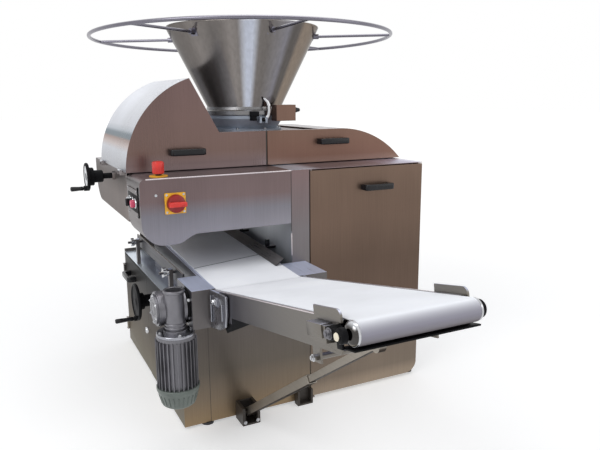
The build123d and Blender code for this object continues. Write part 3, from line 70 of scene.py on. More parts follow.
# Directions
LEFT = (-1, 0, 0)
RIGHT = (1, 0, 0)
FRONT = (0, -1, 0)
BACK = (0, 1, 0)
UP = (0, 0, 1)
DOWN = (0, 0, -1)

# Places taken from the part's source
HOPPER_CENTRE = (48.0, 474.0, 0.0)
FLANGE_Z = 1218.6
CONE_BOTTOM = (169.0, 1256.0)
CONE_RIM = (336.0, 1602.0)
CONE_SLOPE = (CONE_RIM[0] - CONE_BOTTOM[0]) / (CONE_RIM[1] - CONE_BOTTOM[1])
RING_Z = 1555.0
TILT_PIN = (679.0, 1229.0)
LEVER = (58.0, 284.0, 1200.0)
SWITCH_TIP = (198.0, 271.0, 1240.0)
CREASE = (-201.0, 627.0)
INCLINE = math.radians(11.65)
BELT_X = (-345.0, -9.0)
BELT_SLOPE = (662.0 - 627.0) / (629.0 + 201.0)
FRONT_Y = -11.0
BACK_Y = 1036.0
BASE_LEFT_X = -430.0
TABLE_Z = 1010.0
HOOD_FRONT_Y = 180.0
WEIGHT_WHEEL = (-664.0, 479.0, 974.0)
SPEED_WHEEL = (-520.0, 343.0, 443.0)
MAIN_SWITCH = (-426.0, FRONT_Y, 916.0)
ESTOP = (-467.0, 52.0, TABLE_Z)
SIDE_PLATE_X = -553.0
SIDE_BUTTON_Z = 915.0
WORM = (-490.0, -173.0, 0.0)
DRIVE = (-121.0, 560.0)
GEAR_COVER = (-545.0, *DRIVE)
GEAR_FLANGE = (-444.0, *DRIVE)
OUTFEED_X = (-355.0, 1.0)
END_ROLLER = (952.7, -29.9)
END_BOSS = (907.0, -30.0)
STRUT_TOP = (778.0, -110.0)
PIVOT = (-266.0, 600.0)
PIVOT_PLATE_X = (-367.0, 13.0)


def tone(red, green, blue):
    """A colour written as a screen shows it, from 0 to 255, made linear."""
    linear = []
    for channel in (red, green, blue):
        value = channel / 255
        linear.append(value / 12.92 if value <= 0.04045 else ((value + 0.055) / 1.055) ** 2.4)
    return tuple(linear)


def shade(colour, factor):
    """A darker or lighter tone of a colour."""
    return tuple(min(1.0, channel * factor) for channel in colour)


# Settings


def colour_choice(name, description, shown):
    """A colour that a user can change."""
    return bpy.props.FloatVectorProperty(
        name=name, description=description, subtype="COLOR", default=tone(*shown), min=0.0, max=1.0
    )


def length_choice(name, description, default, least):
    """A length that a user can change."""
    return bpy.props.FloatProperty(
        name=name, description=description, unit="LENGTH", default=default, min=least
    )


def angle_choice(name, description, default):
    """An angle that a user can change."""
    return bpy.props.FloatProperty(name=name, description=description, subtype="ANGLE", default=default)


class SteelFinish(bpy.types.PropertyGroup):
    """Colours of the metals."""

    hood: colour_choice("Hood fronts", "Warm brushed stainless of the hood fronts", (114, 94, 88))
    # The skin's bright tone is a painted reflection on the same stainless as the hood fronts
    skin: colour_choice("Hood skin", "Bright stainless of the left hood's round skin", (214, 217, 225))
    box: colour_choice("Control box", "Brushed stainless of the control box, upper part", (112, 97, 97))
    # Painted light: a paler tone for the box's lower edge
    box_low: colour_choice("Control box, low", "Paler stainless at the box's lower edge", (132, 130, 138))
    # Painted light: a lighter tone of the stainless for the walls that face left
    wall: colour_choice("Left walls", "Stainless of the walls that face left", (164, 155, 152))
    door: colour_choice("Cabinet door", "Stainless of the cabinet door", (112, 93, 81))
    # Painted reflection: a pale tone for the tops of the plates
    ledge: colour_choice("Top plates", "Pale stainless of the plates beside the belt", (212, 219, 243))
    plate: colour_choice("Plates", "Plain stainless of the belt table's brackets", (98, 94, 94))
    # The hopper's pale bands are painted reflections
    cone: colour_choice("Hopper", "Polished stainless of the hopper, between its pale bands", (116, 111, 108))
    tube: colour_choice("Guard ring", "Stainless tube of the guard ring", (118, 116, 126))
    zinc: colour_choice("Zinc plating", "Bright plating of the pivot plates", (152, 153, 160))
    cast: colour_choice("Cast aluminium", "Gearbox and motor housing", (122, 121, 126))
    collar: colour_choice("Collar casting", "Grey casting below the hopper", (150, 158, 170))


class PlasticFinish(bpy.types.PropertyGroup):
    """Colours of the plastics, the fan cover's paint and the belt."""

    black: colour_choice("Black plastic", "Handles, grips and knobs", (24, 24, 27))
    red: colour_choice("Bright red plastic", "Emergency stop and switch bar", (214, 52, 44))
    deep_red: colour_choice("Deep red plastic", "Main switch disc", (140, 20, 22))
    rose: colour_choice("Rose plastic", "Stop button", (205, 62, 98))
    yellow: colour_choice("Yellow plastic", "Plates under the red knobs", (236, 176, 40))
    fan: colour_choice("Fan cover", "Paint of the fan cover", (98, 106, 101))
    belt: colour_choice("Belt", "White conveyor belt", (247, 249, 254))


class GuardSizes(bpy.types.PropertyGroup):
    """Sizes of the hopper's guard ring."""

    ring_radius: length_choice("Ring radius", "Middle of the guard tube", 0.6579, 0.4)
    tube_radius: length_choice("Tube radius", "Radius of the guard tube", 0.0075, 0.002)
    spoke_radius: length_choice("Spoke radius", "Radius of a spoke", 0.006, 0.002)
    spokes: bpy.props.IntProperty(name="Spokes", description="Number of spokes", default=6, min=3, max=12)
    first_angle: angle_choice("First spoke", "Angle of the first spoke", math.radians(30))
    droop: angle_choice("Droop", "Lean of the ring towards the back", -0.021)


class ViewSettings(bpy.types.PropertyGroup):
    """Camera and floor."""

    camera_place: bpy.props.FloatVectorProperty(
        name="Camera place",
        description="Where the camera stands",
        subtype="XYZ",
        default=(-1.00995, -2.21147, 1.2964),
        unit="LENGTH",
    )
    yaw: angle_choice("Yaw", "Turn of the view to the right", math.radians(26.5))
    pitch: angle_choice("Pitch", "Tilt of the view downwards", math.radians(11.716))
    roll: angle_choice("Roll", "Turn of the picture", math.radians(-0.398))
    focal_length: bpy.props.FloatProperty(
        name="Focal length", description="On a sensor 36 mm wide", subtype="DISTANCE_CAMERA", default=37.1
    )
    floor_colour: colour_choice("Floor", "Colour of the studio floor", (232, 232, 232))


# Places


def metres(x, y, z):
    """A drawn point, in millimetres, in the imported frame."""
    return Vector((x * MM, y * MM, z * MM)) + SHIFT


def place_at(origin, x_dir, z_dir):
    """The matrix of a local frame whose sizes are in millimetres."""
    x_axis = Vector(x_dir).normalized()
    z_axis = Vector(z_dir).normalized()
    y_axis = z_axis.cross(x_axis)
    turn = Matrix((x_axis, y_axis, z_axis)).transposed().to_4x4()
    return Matrix.Translation(metres(*origin)) @ turn @ Matrix.Scale(MM, 4)


def along_outfeed(x):
    """A frame on the outfeed: x runs outwards along the belt, y down from the belt, z to the right."""
    return place_at((x, *CREASE), (0, -math.cos(INCLINE), math.sin(INCLINE)), RIGHT)


def on_outfeed(x, along, above):
    """A drawn point given along the outfeed's slope."""
    y = CREASE[0] - along * math.cos(INCLINE) + above * math.sin(INCLINE)
    z = CREASE[1] + along * math.sin(INCLINE) + above * math.cos(INCLINE)
    return (x, y, z)


def belt_z(y):
    """Height of the belt on the machine."""
    return CREASE[1] + (y - CREASE[0]) * BELT_SLOPE


def around(count, start=0.0):
    """Cosine and sine of evenly spread angles, once round."""
    angles = [start + 2 * math.pi * index / count for index in range(count)]
    return [(math.cos(angle), math.sin(angle)) for angle in angles]


# Pieces


def new_object(name, bm, material, sharp=40.0):
    """Turn a finished bmesh into an object of the scene."""
    mesh = bpy.data.meshes.new(name)
    bm.to_mesh(mesh)
    bm.free()
    # Normals that came with a solid's triangles don't fit its rounded edges
    if mesh.has_custom_normals:
        mesh.attributes.remove(mesh.attributes["custom_normal"])
    mesh.materials.append(material)
    mesh.shade_smooth()
    mesh.set_sharp_from_angle(angle=math.radians(sharp))
    made = bpy.data.objects.new(name, mesh)
    bpy.context.scene.collection.objects.link(made)
    return made


def attach(piece, body, replaced=None):
    """Let a piece ride on a body and hide the solid that it stands for."""
    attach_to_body(piece, body)
    if replaced:
        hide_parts(replaced)


def build(name, body, finish, slot, *shapes, replaced=None, sharp=40.0):
    """Make a piece of shapes; a shape is an add function and what it takes after the bmesh."""
    bm = bmesh.new()
    for add, *sizes in shapes:
        add(bm, *sizes)
    attach(new_object(name, bm, FINISHES[finish], sharp), body, replaced)


def skin(bm, rings, closed=False):
    """Faces between rings of as many points; a ring may be one point, repeated."""
    pairs = list(zip(rings, rings[1:]))
    if closed:
        pairs.append((rings[-1], rings[0]))
    faces = []
    for lower, upper in pairs:
        for index in range(len(lower)):
            after = (index + 1) % len(lower)
            corners = list(dict.fromkeys((lower[index], lower[after], upper[after], upper[index])))
            if len(corners) > 2:
                faces.append(bm.faces.new(corners))
    return faces


def round_edges(bm, edges, width, segments, clamp=True):
    """Round some edges and return the new faces."""
    rounded = bmesh.ops.bevel(
        bm, geom=edges, offset=width, segments=segments, profile=0.5, affect="EDGES", clamp_overlap=clamp
    )
    return rounded["faces"]


def round_and_place(bm, verts, edges, bevel, segments, matrix):
    """Round some edges of a shape, then set it in its place."""
    if bevel > 0:
        faces = round_edges(bm, edges, bevel, segments)
        verts = [vert for vert in verts if vert.is_valid]
        verts += [vert for face in faces for vert in face.verts]
    bmesh.ops.transform(bm, matrix=matrix, verts=list(dict.fromkeys(verts)))


def rod(radius, start, end):
    """The profile of a plain rod."""
    return [(0, start), (radius, start), (radius, end), (0, end)]


def add_turned(bm, profile, origin, axis, segments=48, closed=False):
    """Spin a profile of (radius, height) pairs about an axis."""
    matrix = place_at(origin, Vector(axis).orthogonal(), axis)
    rings = []
    for radius, height in profile:
        if radius == 0:
            rings.append([bm.verts.new(matrix @ Vector((0, 0, height)))] * segments)
        else:
            points = [(radius * cosine, radius * sine, height) for cosine, sine in around(segments)]
            rings.append([bm.verts.new(matrix @ Vector(point)) for point in points])
    bmesh.ops.recalc_face_normals(bm, faces=skin(bm, rings, closed))


def add_box(bm, low, high, bevel, matrix=None, segments=3):
    """A box between two corners with rounded edges."""
    matrix = matrix or Matrix.Translation(SHIFT) @ Matrix.Scale(MM, 4)
    middle = (Vector(low) + Vector(high)) / 2
    sizes = Vector(high) - Vector(low)
    made = bmesh.ops.create_cube(bm, size=1.0)["verts"]
    for vert in made:
        vert.co = vert.co * sizes + middle
    edges = list(dict.fromkeys(edge for vert in made for edge in vert.link_edges))
    round_and_place(bm, made, edges, bevel, segments, matrix)


def rounded_outline(corners, steps=6):
    """A closed outline from (x, y, radius) corners."""
    outline = []
    count = len(corners)
    for index, (x, y, radius) in enumerate(corners):
        here = Vector((x, y))
        if radius <= 0:
            outline.append(here)
            continue
        before = Vector(corners[index - 1][:2]) - here
        after = Vector(corners[(index + 1) % count][:2]) - here
        half = before.angle(after) / 2
        reach = radius / math.tan(half)
        middle = here + (before.normalized() + after.normalized()).normalized() * radius / math.sin(half)
        first = here + before.normalized() * reach - middle
        last = here + after.normalized() * reach - middle
        sweep = first.angle_signed(last)
        for step in range(steps + 1):
            outline.append(middle + Matrix.Rotation(-sweep * step / steps, 2) @ first)
    return outline


def add_prism(bm, outline, depth, matrix, bevel, segments=3):
    """An outline in the local x-y plane drawn out along z, with rounded rims."""
    rings = [[bm.verts.new((*point, height)) for point in outline] for height in depth]
    ends = [bm.faces.new(ring) for ring in rings]
    bmesh.ops.recalc_face_normals(bm, faces=ends + skin(bm, rings))
    rims = list(dict.fromkeys(edge for face in ends for edge in face.edges))
    round_and_place(bm, rings[0] + rings[1], rims, bevel, segments, matrix)


def add_bow(bm, stations, across, flat, segments=20):
    """A bar swept through (point, radius) stations; flat is its share of width along the across direction."""
    points = [Vector(point) for point, radius in stations]
    side = Vector(across).normalized()
    rings = []
    for index, (point, radius) in enumerate(stations):
        ahead = points[min(index + 1, len(points) - 1)] - points[max(index - 1, 0)]
        normal = ahead.normalized().cross(side)
        ring = []
        for cosine, sine in around(segments):
            offset = side * (cosine * radius * flat) + normal * (sine * radius)
            ring.append(bm.verts.new(metres(*(Vector(point) + offset))))
        rings.append(ring)
    ends = [bm.faces.new(rings[0]), bm.faces.new(rings[-1])]
    bmesh.ops.recalc_face_normals(bm, faces=ends + skin(bm, rings))


# Node trees


def put(tree, socket, value):
    """Link a socket to another or to a list of others, or set it to a value."""
    if isinstance(value, bpy.types.NodeSocket):
        tree.links.new(value, socket)
    elif isinstance(value, list):
        for source in value:
            tree.links.new(source, socket)
    elif socket.type == "RGBA":
        socket.default_value = (*value, 1.0)
    else:
        socket.default_value = value


def add_node(tree, kind, inputs=None, **settings):
    """Add a node, set it, link or set its inputs by name or number, and return its outputs."""
    node = tree.nodes.new(kind)
    for setting, value in settings.items():
        setattr(node, setting, value)
    for label, value in (inputs or {}).items():
        put(tree, node.inputs[label], value)
    return node.outputs


class Finish:
    """A material in the making, on its piece's own object coordinates."""

    def __init__(self, name, metallic=0.0):
        self.material = bpy.data.materials.new(name)
        self.material.use_nodes = True
        self.tree = self.material.node_tree
        self.shader = self.tree.nodes["Principled BSDF"].inputs
        self.coordinates = self.node("ShaderNodeTexCoord")
        self.surface({"Metallic": metallic})

    def node(self, kind, inputs=None, **settings):
        """Add a node to the material."""
        return add_node(self.tree, kind, inputs, **settings)

    def surface(self, sockets):
        """Link or set the shader's own sockets."""
        for label, value in sockets.items():
            put(self.tree, self.shader[label], value)

    def noise(self, scale, detail=3.0, stretch=(1, 1, 1)):
        """Noise, drawn out along an axis where stretch is small."""
        mapped = self.node("ShaderNodeMapping", {"Vector": self.coordinates["Object"], "Scale": stretch})
        inputs = {"Vector": mapped["Vector"], "Scale": scale, "Detail": detail}
        return self.node("ShaderNodeTexNoise", inputs)["Fac"]

    def spread(self, value, low, high, start=0.3, end=0.7):
        """Spread a value over a range."""
        inputs = {"Value": value, "From Min": start, "From Max": end, "To Min": low, "To Max": high}
        return self.node("ShaderNodeMapRange", inputs)["Result"]

    def math(self, operation, first, second):
        """One sum of two values."""
        return self.node("ShaderNodeMath", {0: first, 1: second}, operation=operation)[0]

    def mix(self, factor, first, second, blend="MIX"):
        """A colour between two."""
        inputs = {0: factor, 6: first, 7: second}
        return self.node("ShaderNodeMix", inputs, data_type="RGBA", blend_type=blend)[2]

    def scaled(self, colour, factor):
        """A colour made lighter or darker."""
        return self.mix(1.0, colour, factor, "MULTIPLY")

    def facing(self, direction, start=0.45, end=0.8):
        """How far the surface faces a direction, from 0 to 1."""
        inputs = {0: self.coordinates["Normal"], 1: direction}
        share = self.node("ShaderNodeVectorMath", inputs, operation="DOT_PRODUCT")["Value"]
        return self.spread(share, 0.0, 1.0, start, end)

    def ramp(self, value, stops):
        """A run of colours over 0 to 1."""
        node = self.tree.nodes.new("ShaderNodeValToRGB")
        elements = node.color_ramp.elements
        elements.remove(elements[1])
        elements[0].position = stops[0][0]
        elements[0].color = (*stops[0][1], 1.0)
        for position, colour in stops[1:]:
            elements.new(position).color = (*colour, 1.0)
        put(self.tree, node.inputs["Fac"], value)
        return node.outputs["Color"]

    def along(self, axis, first, last):
        """How far a surface lies from one drawn place to another along an axis, from 0 to 1."""
        index = "xyz".index(axis)
        split = self.node("ShaderNodeSeparateXYZ", {0: self.coordinates["Object"]})
        return self.spread(split[index], 0.0, 1.0, first * MM + SHIFT[index], last * MM + SHIFT[index])

    def run(self, axis, *stops):
        """A run of colours along an axis; a stop is a drawn place and its colour."""
        first, last = stops[0][0], stops[-1][0]
        share = self.along(axis, first, last)
        return self.ramp(share, [((place - first) / (last - first), colour) for place, colour in stops])

    def bump(self, height, strength, distance):
        """A fine relief."""
        inputs = {"Height": height, "Strength": strength, "Distance": distance}
        self.surface({"Normal": self.node("ShaderNodeBump", inputs)["Normal"]})


# Finishes

# Stretch of the brushing lines, which run along the axis with the small number
ACROSS = (5.0, 70.0, 420.0)
UPRIGHT = (420.0, 420.0, 5.0)
LENGTHWISE = (260.0, 5.0, 260.0)
DULL_GLANCE = 0.3
WHITE = (1.0, 1.0, 1.0)
# Facing of the strut's underside, which takes a painted shade
STRUT_UNDERSIDE = (0, -0.565, -0.825)


def sheet_steel(
    name, plain, facings=(), roughness=0.36, stretch=UPRIGHT, metallic=0.9, patchy=0.16, glance=1.0
):
    """Stainless sheet: painted light, shade and reflections as a tone for each way it faces or along an axis,
    brushing lines, handling marks and a faint waviness.

    A tone is a colour, or an axis and the colours along it. A facing may end with an axis and two places
    between which its tone comes in. A low glance keeps upright faces from whitening where they are seen
    nearly edge on."""
    finish = Finish(name, metallic)
    if glance < 1:
        finish.surface({"Specular Tint": finish.mix(finish.facing(UP), shade(WHITE, glance), WHITE)})

    def tone_of(spec):
        return finish.run(*spec) if isinstance(spec[0], str) else spec

    # Painted light, shade and reflections: the plain tone, then a tone for each facing
    colour = tone_of(plain)
    for direction, spec, *limits in facings:
        share = finish.facing(direction)
        for axis, first, last in limits:
            share = finish.math("MULTIPLY", share, finish.along(axis, first, last))
        colour = finish.mix(share, colour, tone_of(spec))
    lines = finish.noise(1.0, 3.0, stretch)
    marks = finish.noise(3.4, 4.0, (1.0, 1.0, 0.5))
    both = finish.math("ADD", finish.math("MULTIPLY", lines, 0.4), finish.math("MULTIPLY", marks, 0.6))
    uneven = finish.spread(both, 1 - patchy, 1 + patchy)
    rough = finish.spread(both, roughness - 0.07, roughness + 0.09)
    finish.surface({"Base Color": finish.scaled(colour, uneven), "Roughness": rough})
    waves = finish.noise(5.0, 1.0)
    finish.bump(finish.math("ADD", finish.math("MULTIPLY", lines, 0.06), waves), 0.12, 0.003)
    return finish.material


def polished_cone(name, colour):
    """Polished sheet with painted reflections as soft upright bands round the hopper's axis."""
    finish = Finish(name, 1.0)
    inputs = {"Vector": finish.coordinates["Object"], "Location": -metres(*HOPPER_CENTRE)}
    centred = finish.node("ShaderNodeMapping", inputs)["Vector"]
    turn = finish.node("ShaderNodeTexGradient", {"Vector": centred}, gradient_type="RADIAL")["Fac"]
    pale = tone(196, 200, 210)
    warm = tone(132, 120, 109)
    # Painted reflections: an angle round the axis, then a share of the plain colour or another tone
    painted_reflection_bands = (
        (-180, 0.9), (-160, 0.9), (-150, 1.15), (-142, 1.0), (-135, 0.75), (-127, 0.85), (-121, 1.2),
        (-115, 1.05), (-109, pale), (-104, pale), (-99, 0.9), (-92, 0.8), (-82, tone(118, 115, 117)),
        (-76, tone(122, 120, 126)), (-71, 0.6), (-65, 0.62), (-60, warm), (-30, warm), (-10, 0.9),
        (25, pale), (45, 0.8), (80, 1.3), (110, 0.9), (140, warm), (180, 0.9),
    )
    stops = []
    for angle, band in painted_reflection_bands:
        band_colour = shade(colour, band) if isinstance(band, float) else band
        stops.append((angle / 360 + 0.5, band_colour))
    drawn = finish.ramp(turn, stops)
    streaks = finish.noise(1.0, 3.0, (90.0, 90.0, 3.0))
    smears = finish.noise(5.0, 4.0, (1.0, 1.0, 0.3))
    finish.surface(
        {
            "Base Color": finish.scaled(drawn, finish.spread(streaks, 0.92, 1.08)),
            "Roughness": finish.spread(smears, 0.14, 0.26),
            "Specular Tint": shade(WHITE, 0.6),
        }
    )
    return finish.material


def moulded(name, colour, roughness, grain=900.0, shine=0.5):
    """Moulded plastic or rubber with a fine grain."""
    finish = Finish(name)
    worn = finish.noise(28.0, 3.0)
    finish.surface(
        {
            "Base Color": finish.scaled(colour, finish.spread(worn, 0.86, 1.14)),
            "Roughness": finish.spread(worn, roughness - 0.06, roughness + 0.08),
            "Specular IOR Level": shine,
        }
    )
    finish.bump(finish.noise(grain, 2.0), 0.12, 0.0002)
    return finish.material


def casting(name, colour, metallic, roughness, grain=260.0, shine=0.5):
    """A cast or painted surface with a coarse skin."""
    finish = Finish(name, metallic)
    stains = finish.noise(14.0, 4.0)
    finish.surface(
        {
            "Base Color": finish.scaled(colour, finish.spread(stains, 0.78, 1.2)),
            "Roughness": finish.spread(stains, roughness - 0.08, roughness + 0.1),
            "Specular IOR Level": shine,
        }
    )
    finish.bump(finish.noise(grain, 3.0), 0.22, 0.0005)
    return finish.material


def belt_cloth(name, colour):
    """White belt cover with a fine weave and flour-soft patches, and painted shade that makes it greyer where
    it turns under.
    """
    finish = Finish(name)
    patches = finish.noise(6.0, 4.0)
    # Painted shade: greyer where the belt faces the front and faces down round the end roller
    turned = finish.mix(finish.facing(FRONT, 0.24, 1.05), colour, tone(134, 131, 145))
    turned = finish.mix(finish.facing(DOWN, -0.1, 0.6), turned, tone(100, 95, 100))
    uneven = finish.scaled(turned, finish.spread(patches, 0.95, 1.03))
    finish.surface({"Base Color": uneven, "Roughness": finish.spread(patches, 0.55, 0.7)})
    finish.bump(finish.noise(1.0, 1.0, (700.0, 260.0, 260.0)), 0.08, 0.0002)
    return finish.material


FINISHES = {}


def make_hoods_and_box(steel):
    """Stainless of the hoods, the control box and the upper left wall, with painted light, shade and
    reflections.
    """
    # Painted reflections and shade: the skin darker near the deck and crossed by a dark band of painted
    # reflection, the hood fronts and the box lighter towards their lower edges, the wall darker under the
    # hood
    left_skin = (
        "z", (1011, shade(steel.skin, 0.64)), (1050, shade(steel.skin, 0.76)),
        (1090, shade(steel.skin, 0.96)), (1112, tone(204, 190, 187)), (1134, tone(158, 132, 124)),
        (1143, tone(98, 114, 124)), (1157, tone(104, 120, 132)), (1170, tone(188, 195, 204)),
        (1190, steel.skin), (1371, steel.skin),
    )
    left_front = (
        "z", (1011, tone(150, 134, 134)), (1040, tone(124, 107, 106)), (1085, shade(steel.hood, 1.02)),
        (1371, tone(113, 93, 91)),
    )
    right_hood = (
        "z", (1011, tone(140, 116, 106)), (1045, tone(120, 92, 81)), (1090, tone(117, 90, 79)),
        (1160, tone(115, 91, 80)),
    )
    box = (
        "z", (760, shade(steel.box_low, 1.25)), (810, shade(steel.box_low, 1.12)),
        (870, shade(steel.box_low, 0.9)), (925, shade(steel.box, 1.1)), (1010, steel.box),
    )
    wall = (
        "z", (817, shade(steel.wall, 0.94)), (900, steel.wall), (970, shade(steel.wall, 0.74)),
        (1010, tone(174, 168, 168)),
    )
    # Painted light by facing: paler tops and a darker left face on the box
    left_facings = ((UP, tone(226, 229, 237)), (FRONT, left_front))
    box_facings = ((LEFT, tone(106, 101, 102)), (UP, tone(130, 117, 119)))
    wall_facings = ((UP, tone(150, 146, 148)),)
    wall_lines = (60.0, 60.0, 4.0)
    FINISHES.update(
        left_hood=sheet_steel(
            "left_hood_steel", left_skin, left_facings, roughness=0.3, metallic=0.92, glance=0.8
        ),
        right_hood=sheet_steel("right_hood_steel", right_hood, ((UP, tone(188, 184, 186)),)),
        box=sheet_steel("box_steel", box, box_facings, roughness=0.38),
        wall=sheet_steel(
            "wall_steel", wall, wall_facings, 0.34, wall_lines, patchy=0.2, glance=DULL_GLANCE
        ),
    )


def make_cabinet_and_base(steel):
    """Stainless of the cabinet, the base and the tunnel, with painted light, shade and reflections."""
    # Painted reflections and shade: the jamb lighter towards the top, the door and the base front lighter
    # towards the floor, the base's left side darker towards the top under the ledge
    jamb = ("z", (500, tone(104, 100, 100)), (760, tone(116, 111, 113)), (1010, tone(124, 105, 105)))
    # Painted reflections: pale patches at both ends of the deck
    cabinet_top = (
        "x", (50, tone(222, 238, 255)), (135, tone(224, 234, 250)), (190, tone(140, 127, 132)),
        (330, tone(140, 127, 131)), (480, tone(148, 134, 142)), (640, tone(176, 170, 192)),
        (697, tone(226, 224, 236)),
    )
    # Painted light: a pale left face in the tunnel, and the deck's pale patches only in front of the hoods
    before_hoods = ("y", 260, HOOD_FRONT_Y)
    cabinet_facings = (
        (LEFT, tone(150, 155, 164)), (UP, tone(140, 127, 131)), (UP, cabinet_top, before_hoods)
    )
    door = (
        "z", (10, tone(156, 141, 124)), (40, tone(148, 133, 117)), (80, tone(122, 110, 98)),
        (290, tone(108, 96, 86)), (420, shade(steel.door, 0.72)), (600, shade(steel.door, 0.7)),
        (780, shade(steel.door, 0.9)), (1003, steel.door),
    )
    base_front = (
        "z", (10, tone(152, 131, 103)), (110, tone(128, 114, 98)), (220, tone(103, 96, 88)),
        (360, tone(97, 91, 87)), (500, tone(94, 89, 85)),
    )
    base_left = (
        "z", (10, tone(156, 150, 137)), (120, tone(138, 130, 118)), (230, tone(120, 113, 105)),
        (340, tone(106, 101, 97)), (440, tone(82, 81, 81)), (500, tone(66, 67, 68)),
    )
    # Painted shadow: the ledge beside the table is darker in this area
    ledge_shadow_area = (("x", -408, -388), ("y", 930, 830))
    base_facings = (
        (LEFT, base_left), (UP, tone(234, 243, 255)), (UP, tone(172, 181, 200), *ledge_shadow_area)
    )
    # Painted light: a pale tone for the tunnel wall, lighter deeper in
    lining = ("y", (-10, tone(122, 125, 131)), (60, tone(146, 149, 155)), (220, tone(208, 212, 218)))
    FINISHES.update(
        cabinet=sheet_steel("cabinet_steel", jamb, cabinet_facings),
        door=sheet_steel("door_steel", door),
        base=sheet_steel("base_steel", base_front, base_facings, metallic=0.8, glance=DULL_GLANCE),
        side_door=sheet_steel("side_door_steel", base_left, metallic=0.8, glance=DULL_GLANCE),
        back=sheet_steel("back_steel", tone(128, 122, 118)),
        lining=sheet_steel("tunnel_steel", lining, roughness=0.4, metallic=0.2),
    )


def make_belt_parts(steel):
    """Stainless of the belt table, the outfeed, the rails and the strut, with painted light, shade,
    highlights and reflections.
    """
    # Painted reflections and shade: the outfeed's plates darker towards the pivot, pale tops on the plates,
    # rails and outfeed, darker left faces of the plates, a lighter top and a dark underside on the strut
    outfeed = ("y", (-1100, tone(122, 117, 110)), (-800, tone(112, 108, 104)), (-380, tone(92, 90, 96)))
    plate_facings = ((LEFT, tone(92, 90, 95)), (UP, steel.ledge))
    strut_facings = ((UP, tone(186, 180, 172)), (STRUT_UNDERSIDE, tone(72, 66, 61)))
    rail_top = ((UP, tone(196, 190, 186)),)
    dark_top = ((UP, tone(196, 192, 192)),)
    outfeed_top = ((UP, tone(178, 181, 196)),)
    FINISHES.update(
        plate=sheet_steel("plate_steel", steel.plate, plate_facings, 0.32, LENGTHWISE, metallic=0.45),
        outfeed=sheet_steel("outfeed_steel", outfeed, outfeed_top, 0.32, LENGTHWISE),
        rail=sheet_steel("rail_steel", tone(58, 58, 64), rail_top, 0.42, LENGTHWISE, metallic=0.5),
        # The right rail's near-black tone is partly its own colour and partly painted shade in the gap beside
        # the belt
        dark_rail=sheet_steel("right_rail_steel", tone(40, 40, 43), dark_top, 0.3, LENGTHWISE),
        strut=sheet_steel(
            "strut_steel", tone(172, 165, 155), strut_facings, stretch=LENGTHWISE, glance=DULL_GLANCE
        ),
        # Painted highlight: a light tone for the folded edges and the outfeed's lips
        fold=sheet_steel("fold_highlight_steel", tone(206, 198, 200), (), 0.28, LENGTHWISE, patchy=0.1),
    )


def make_other_metals(steel, plastic):
    """Hopper, guard, plated and machined parts, castings and painted metal."""
    # Painted highlights: pale tops on the guard tube and the flange
    tube_top = ((UP, tone(172, 170, 178)),)
    flange_top = ((UP, tone(160, 159, 158)),)
    # Painted reflections: the dome dark, bright on top and warm underneath
    dome_reflections = ((UP, tone(206, 208, 212)), (DOWN, tone(134, 126, 106)))
    FINISHES.update(
        tube=sheet_steel("guard_tube_steel", steel.tube, tube_top, 0.26, (90.0, 90.0, 200.0), 0.95),
        flange=sheet_steel("flange_steel", tone(124, 123, 124), flange_top, 0.28, (60.0, 60.0, 160.0)),
        zinc=sheet_steel("zinc_plating", steel.zinc, (), 0.26, (30.0, 40.0, 12.0), 0.95, patchy=0.34),
        hopper=polished_cone("hopper_steel", steel.cone),
        chrome=sheet_steel(
            "chrome_plating", tone(196, 197, 200), (), 0.16, (30.0, 30.0, 30.0), 1.0, patchy=0.2
        ),
        dome=sheet_steel("dome_chrome", tone(74, 72, 70), dome_reflections, 0.14, ACROSS, 1.0),
        machined=sheet_steel("machined_iron", tone(140, 140, 142), (), 0.38, (40.0, 300.0, 40.0)),
        cast=casting("cast_aluminium", steel.cast, 0.85, 0.36),
        motor=casting("motor_aluminium", shade(steel.cast, 0.9), 0.7, 0.42),
        collar=casting("collar_casting", steel.collar, 0.3, 0.36, grain=180.0),
        fan=casting("fan_cover_paint", plastic.fan, 0.15, 0.4),
        frame=casting("frame_paint", tone(124, 127, 130), 0.1, 0.5),
        black_metal=casting("black_paint", tone(20, 20, 22), 0.0, 0.46, shine=0.06),
        bracket=casting("bracket_paint", tone(62, 57, 53), 0.4, 0.4),
    )


def make_plastics(plastic):
    """Plastics, rubber and the belt."""
    FINISHES.update(
        black=moulded("black_plastic", plastic.black, 0.22, shine=0.3),
        red=moulded("red_plastic", plastic.red, 0.3),
        deep_red=moulded("deep_red_plastic", plastic.deep_red, 0.32),
        rose=moulded("rose_plastic", plastic.rose, 0.26),
        yellow=moulded("yellow_plastic", plastic.yellow, 0.42),
        silver=moulded("silver_plastic", tone(206, 208, 212), 0.25),
        cream=moulded("cream_plastic", tone(228, 219, 198), 0.35),
        rubber=moulded("foot_rubber", tone(48, 48, 50), 0.7, grain=500.0),
        belt=belt_cloth("belt_cover", plastic.belt),
        splice=moulded("belt_splice", tone(84, 84, 90), 0.7),
    )


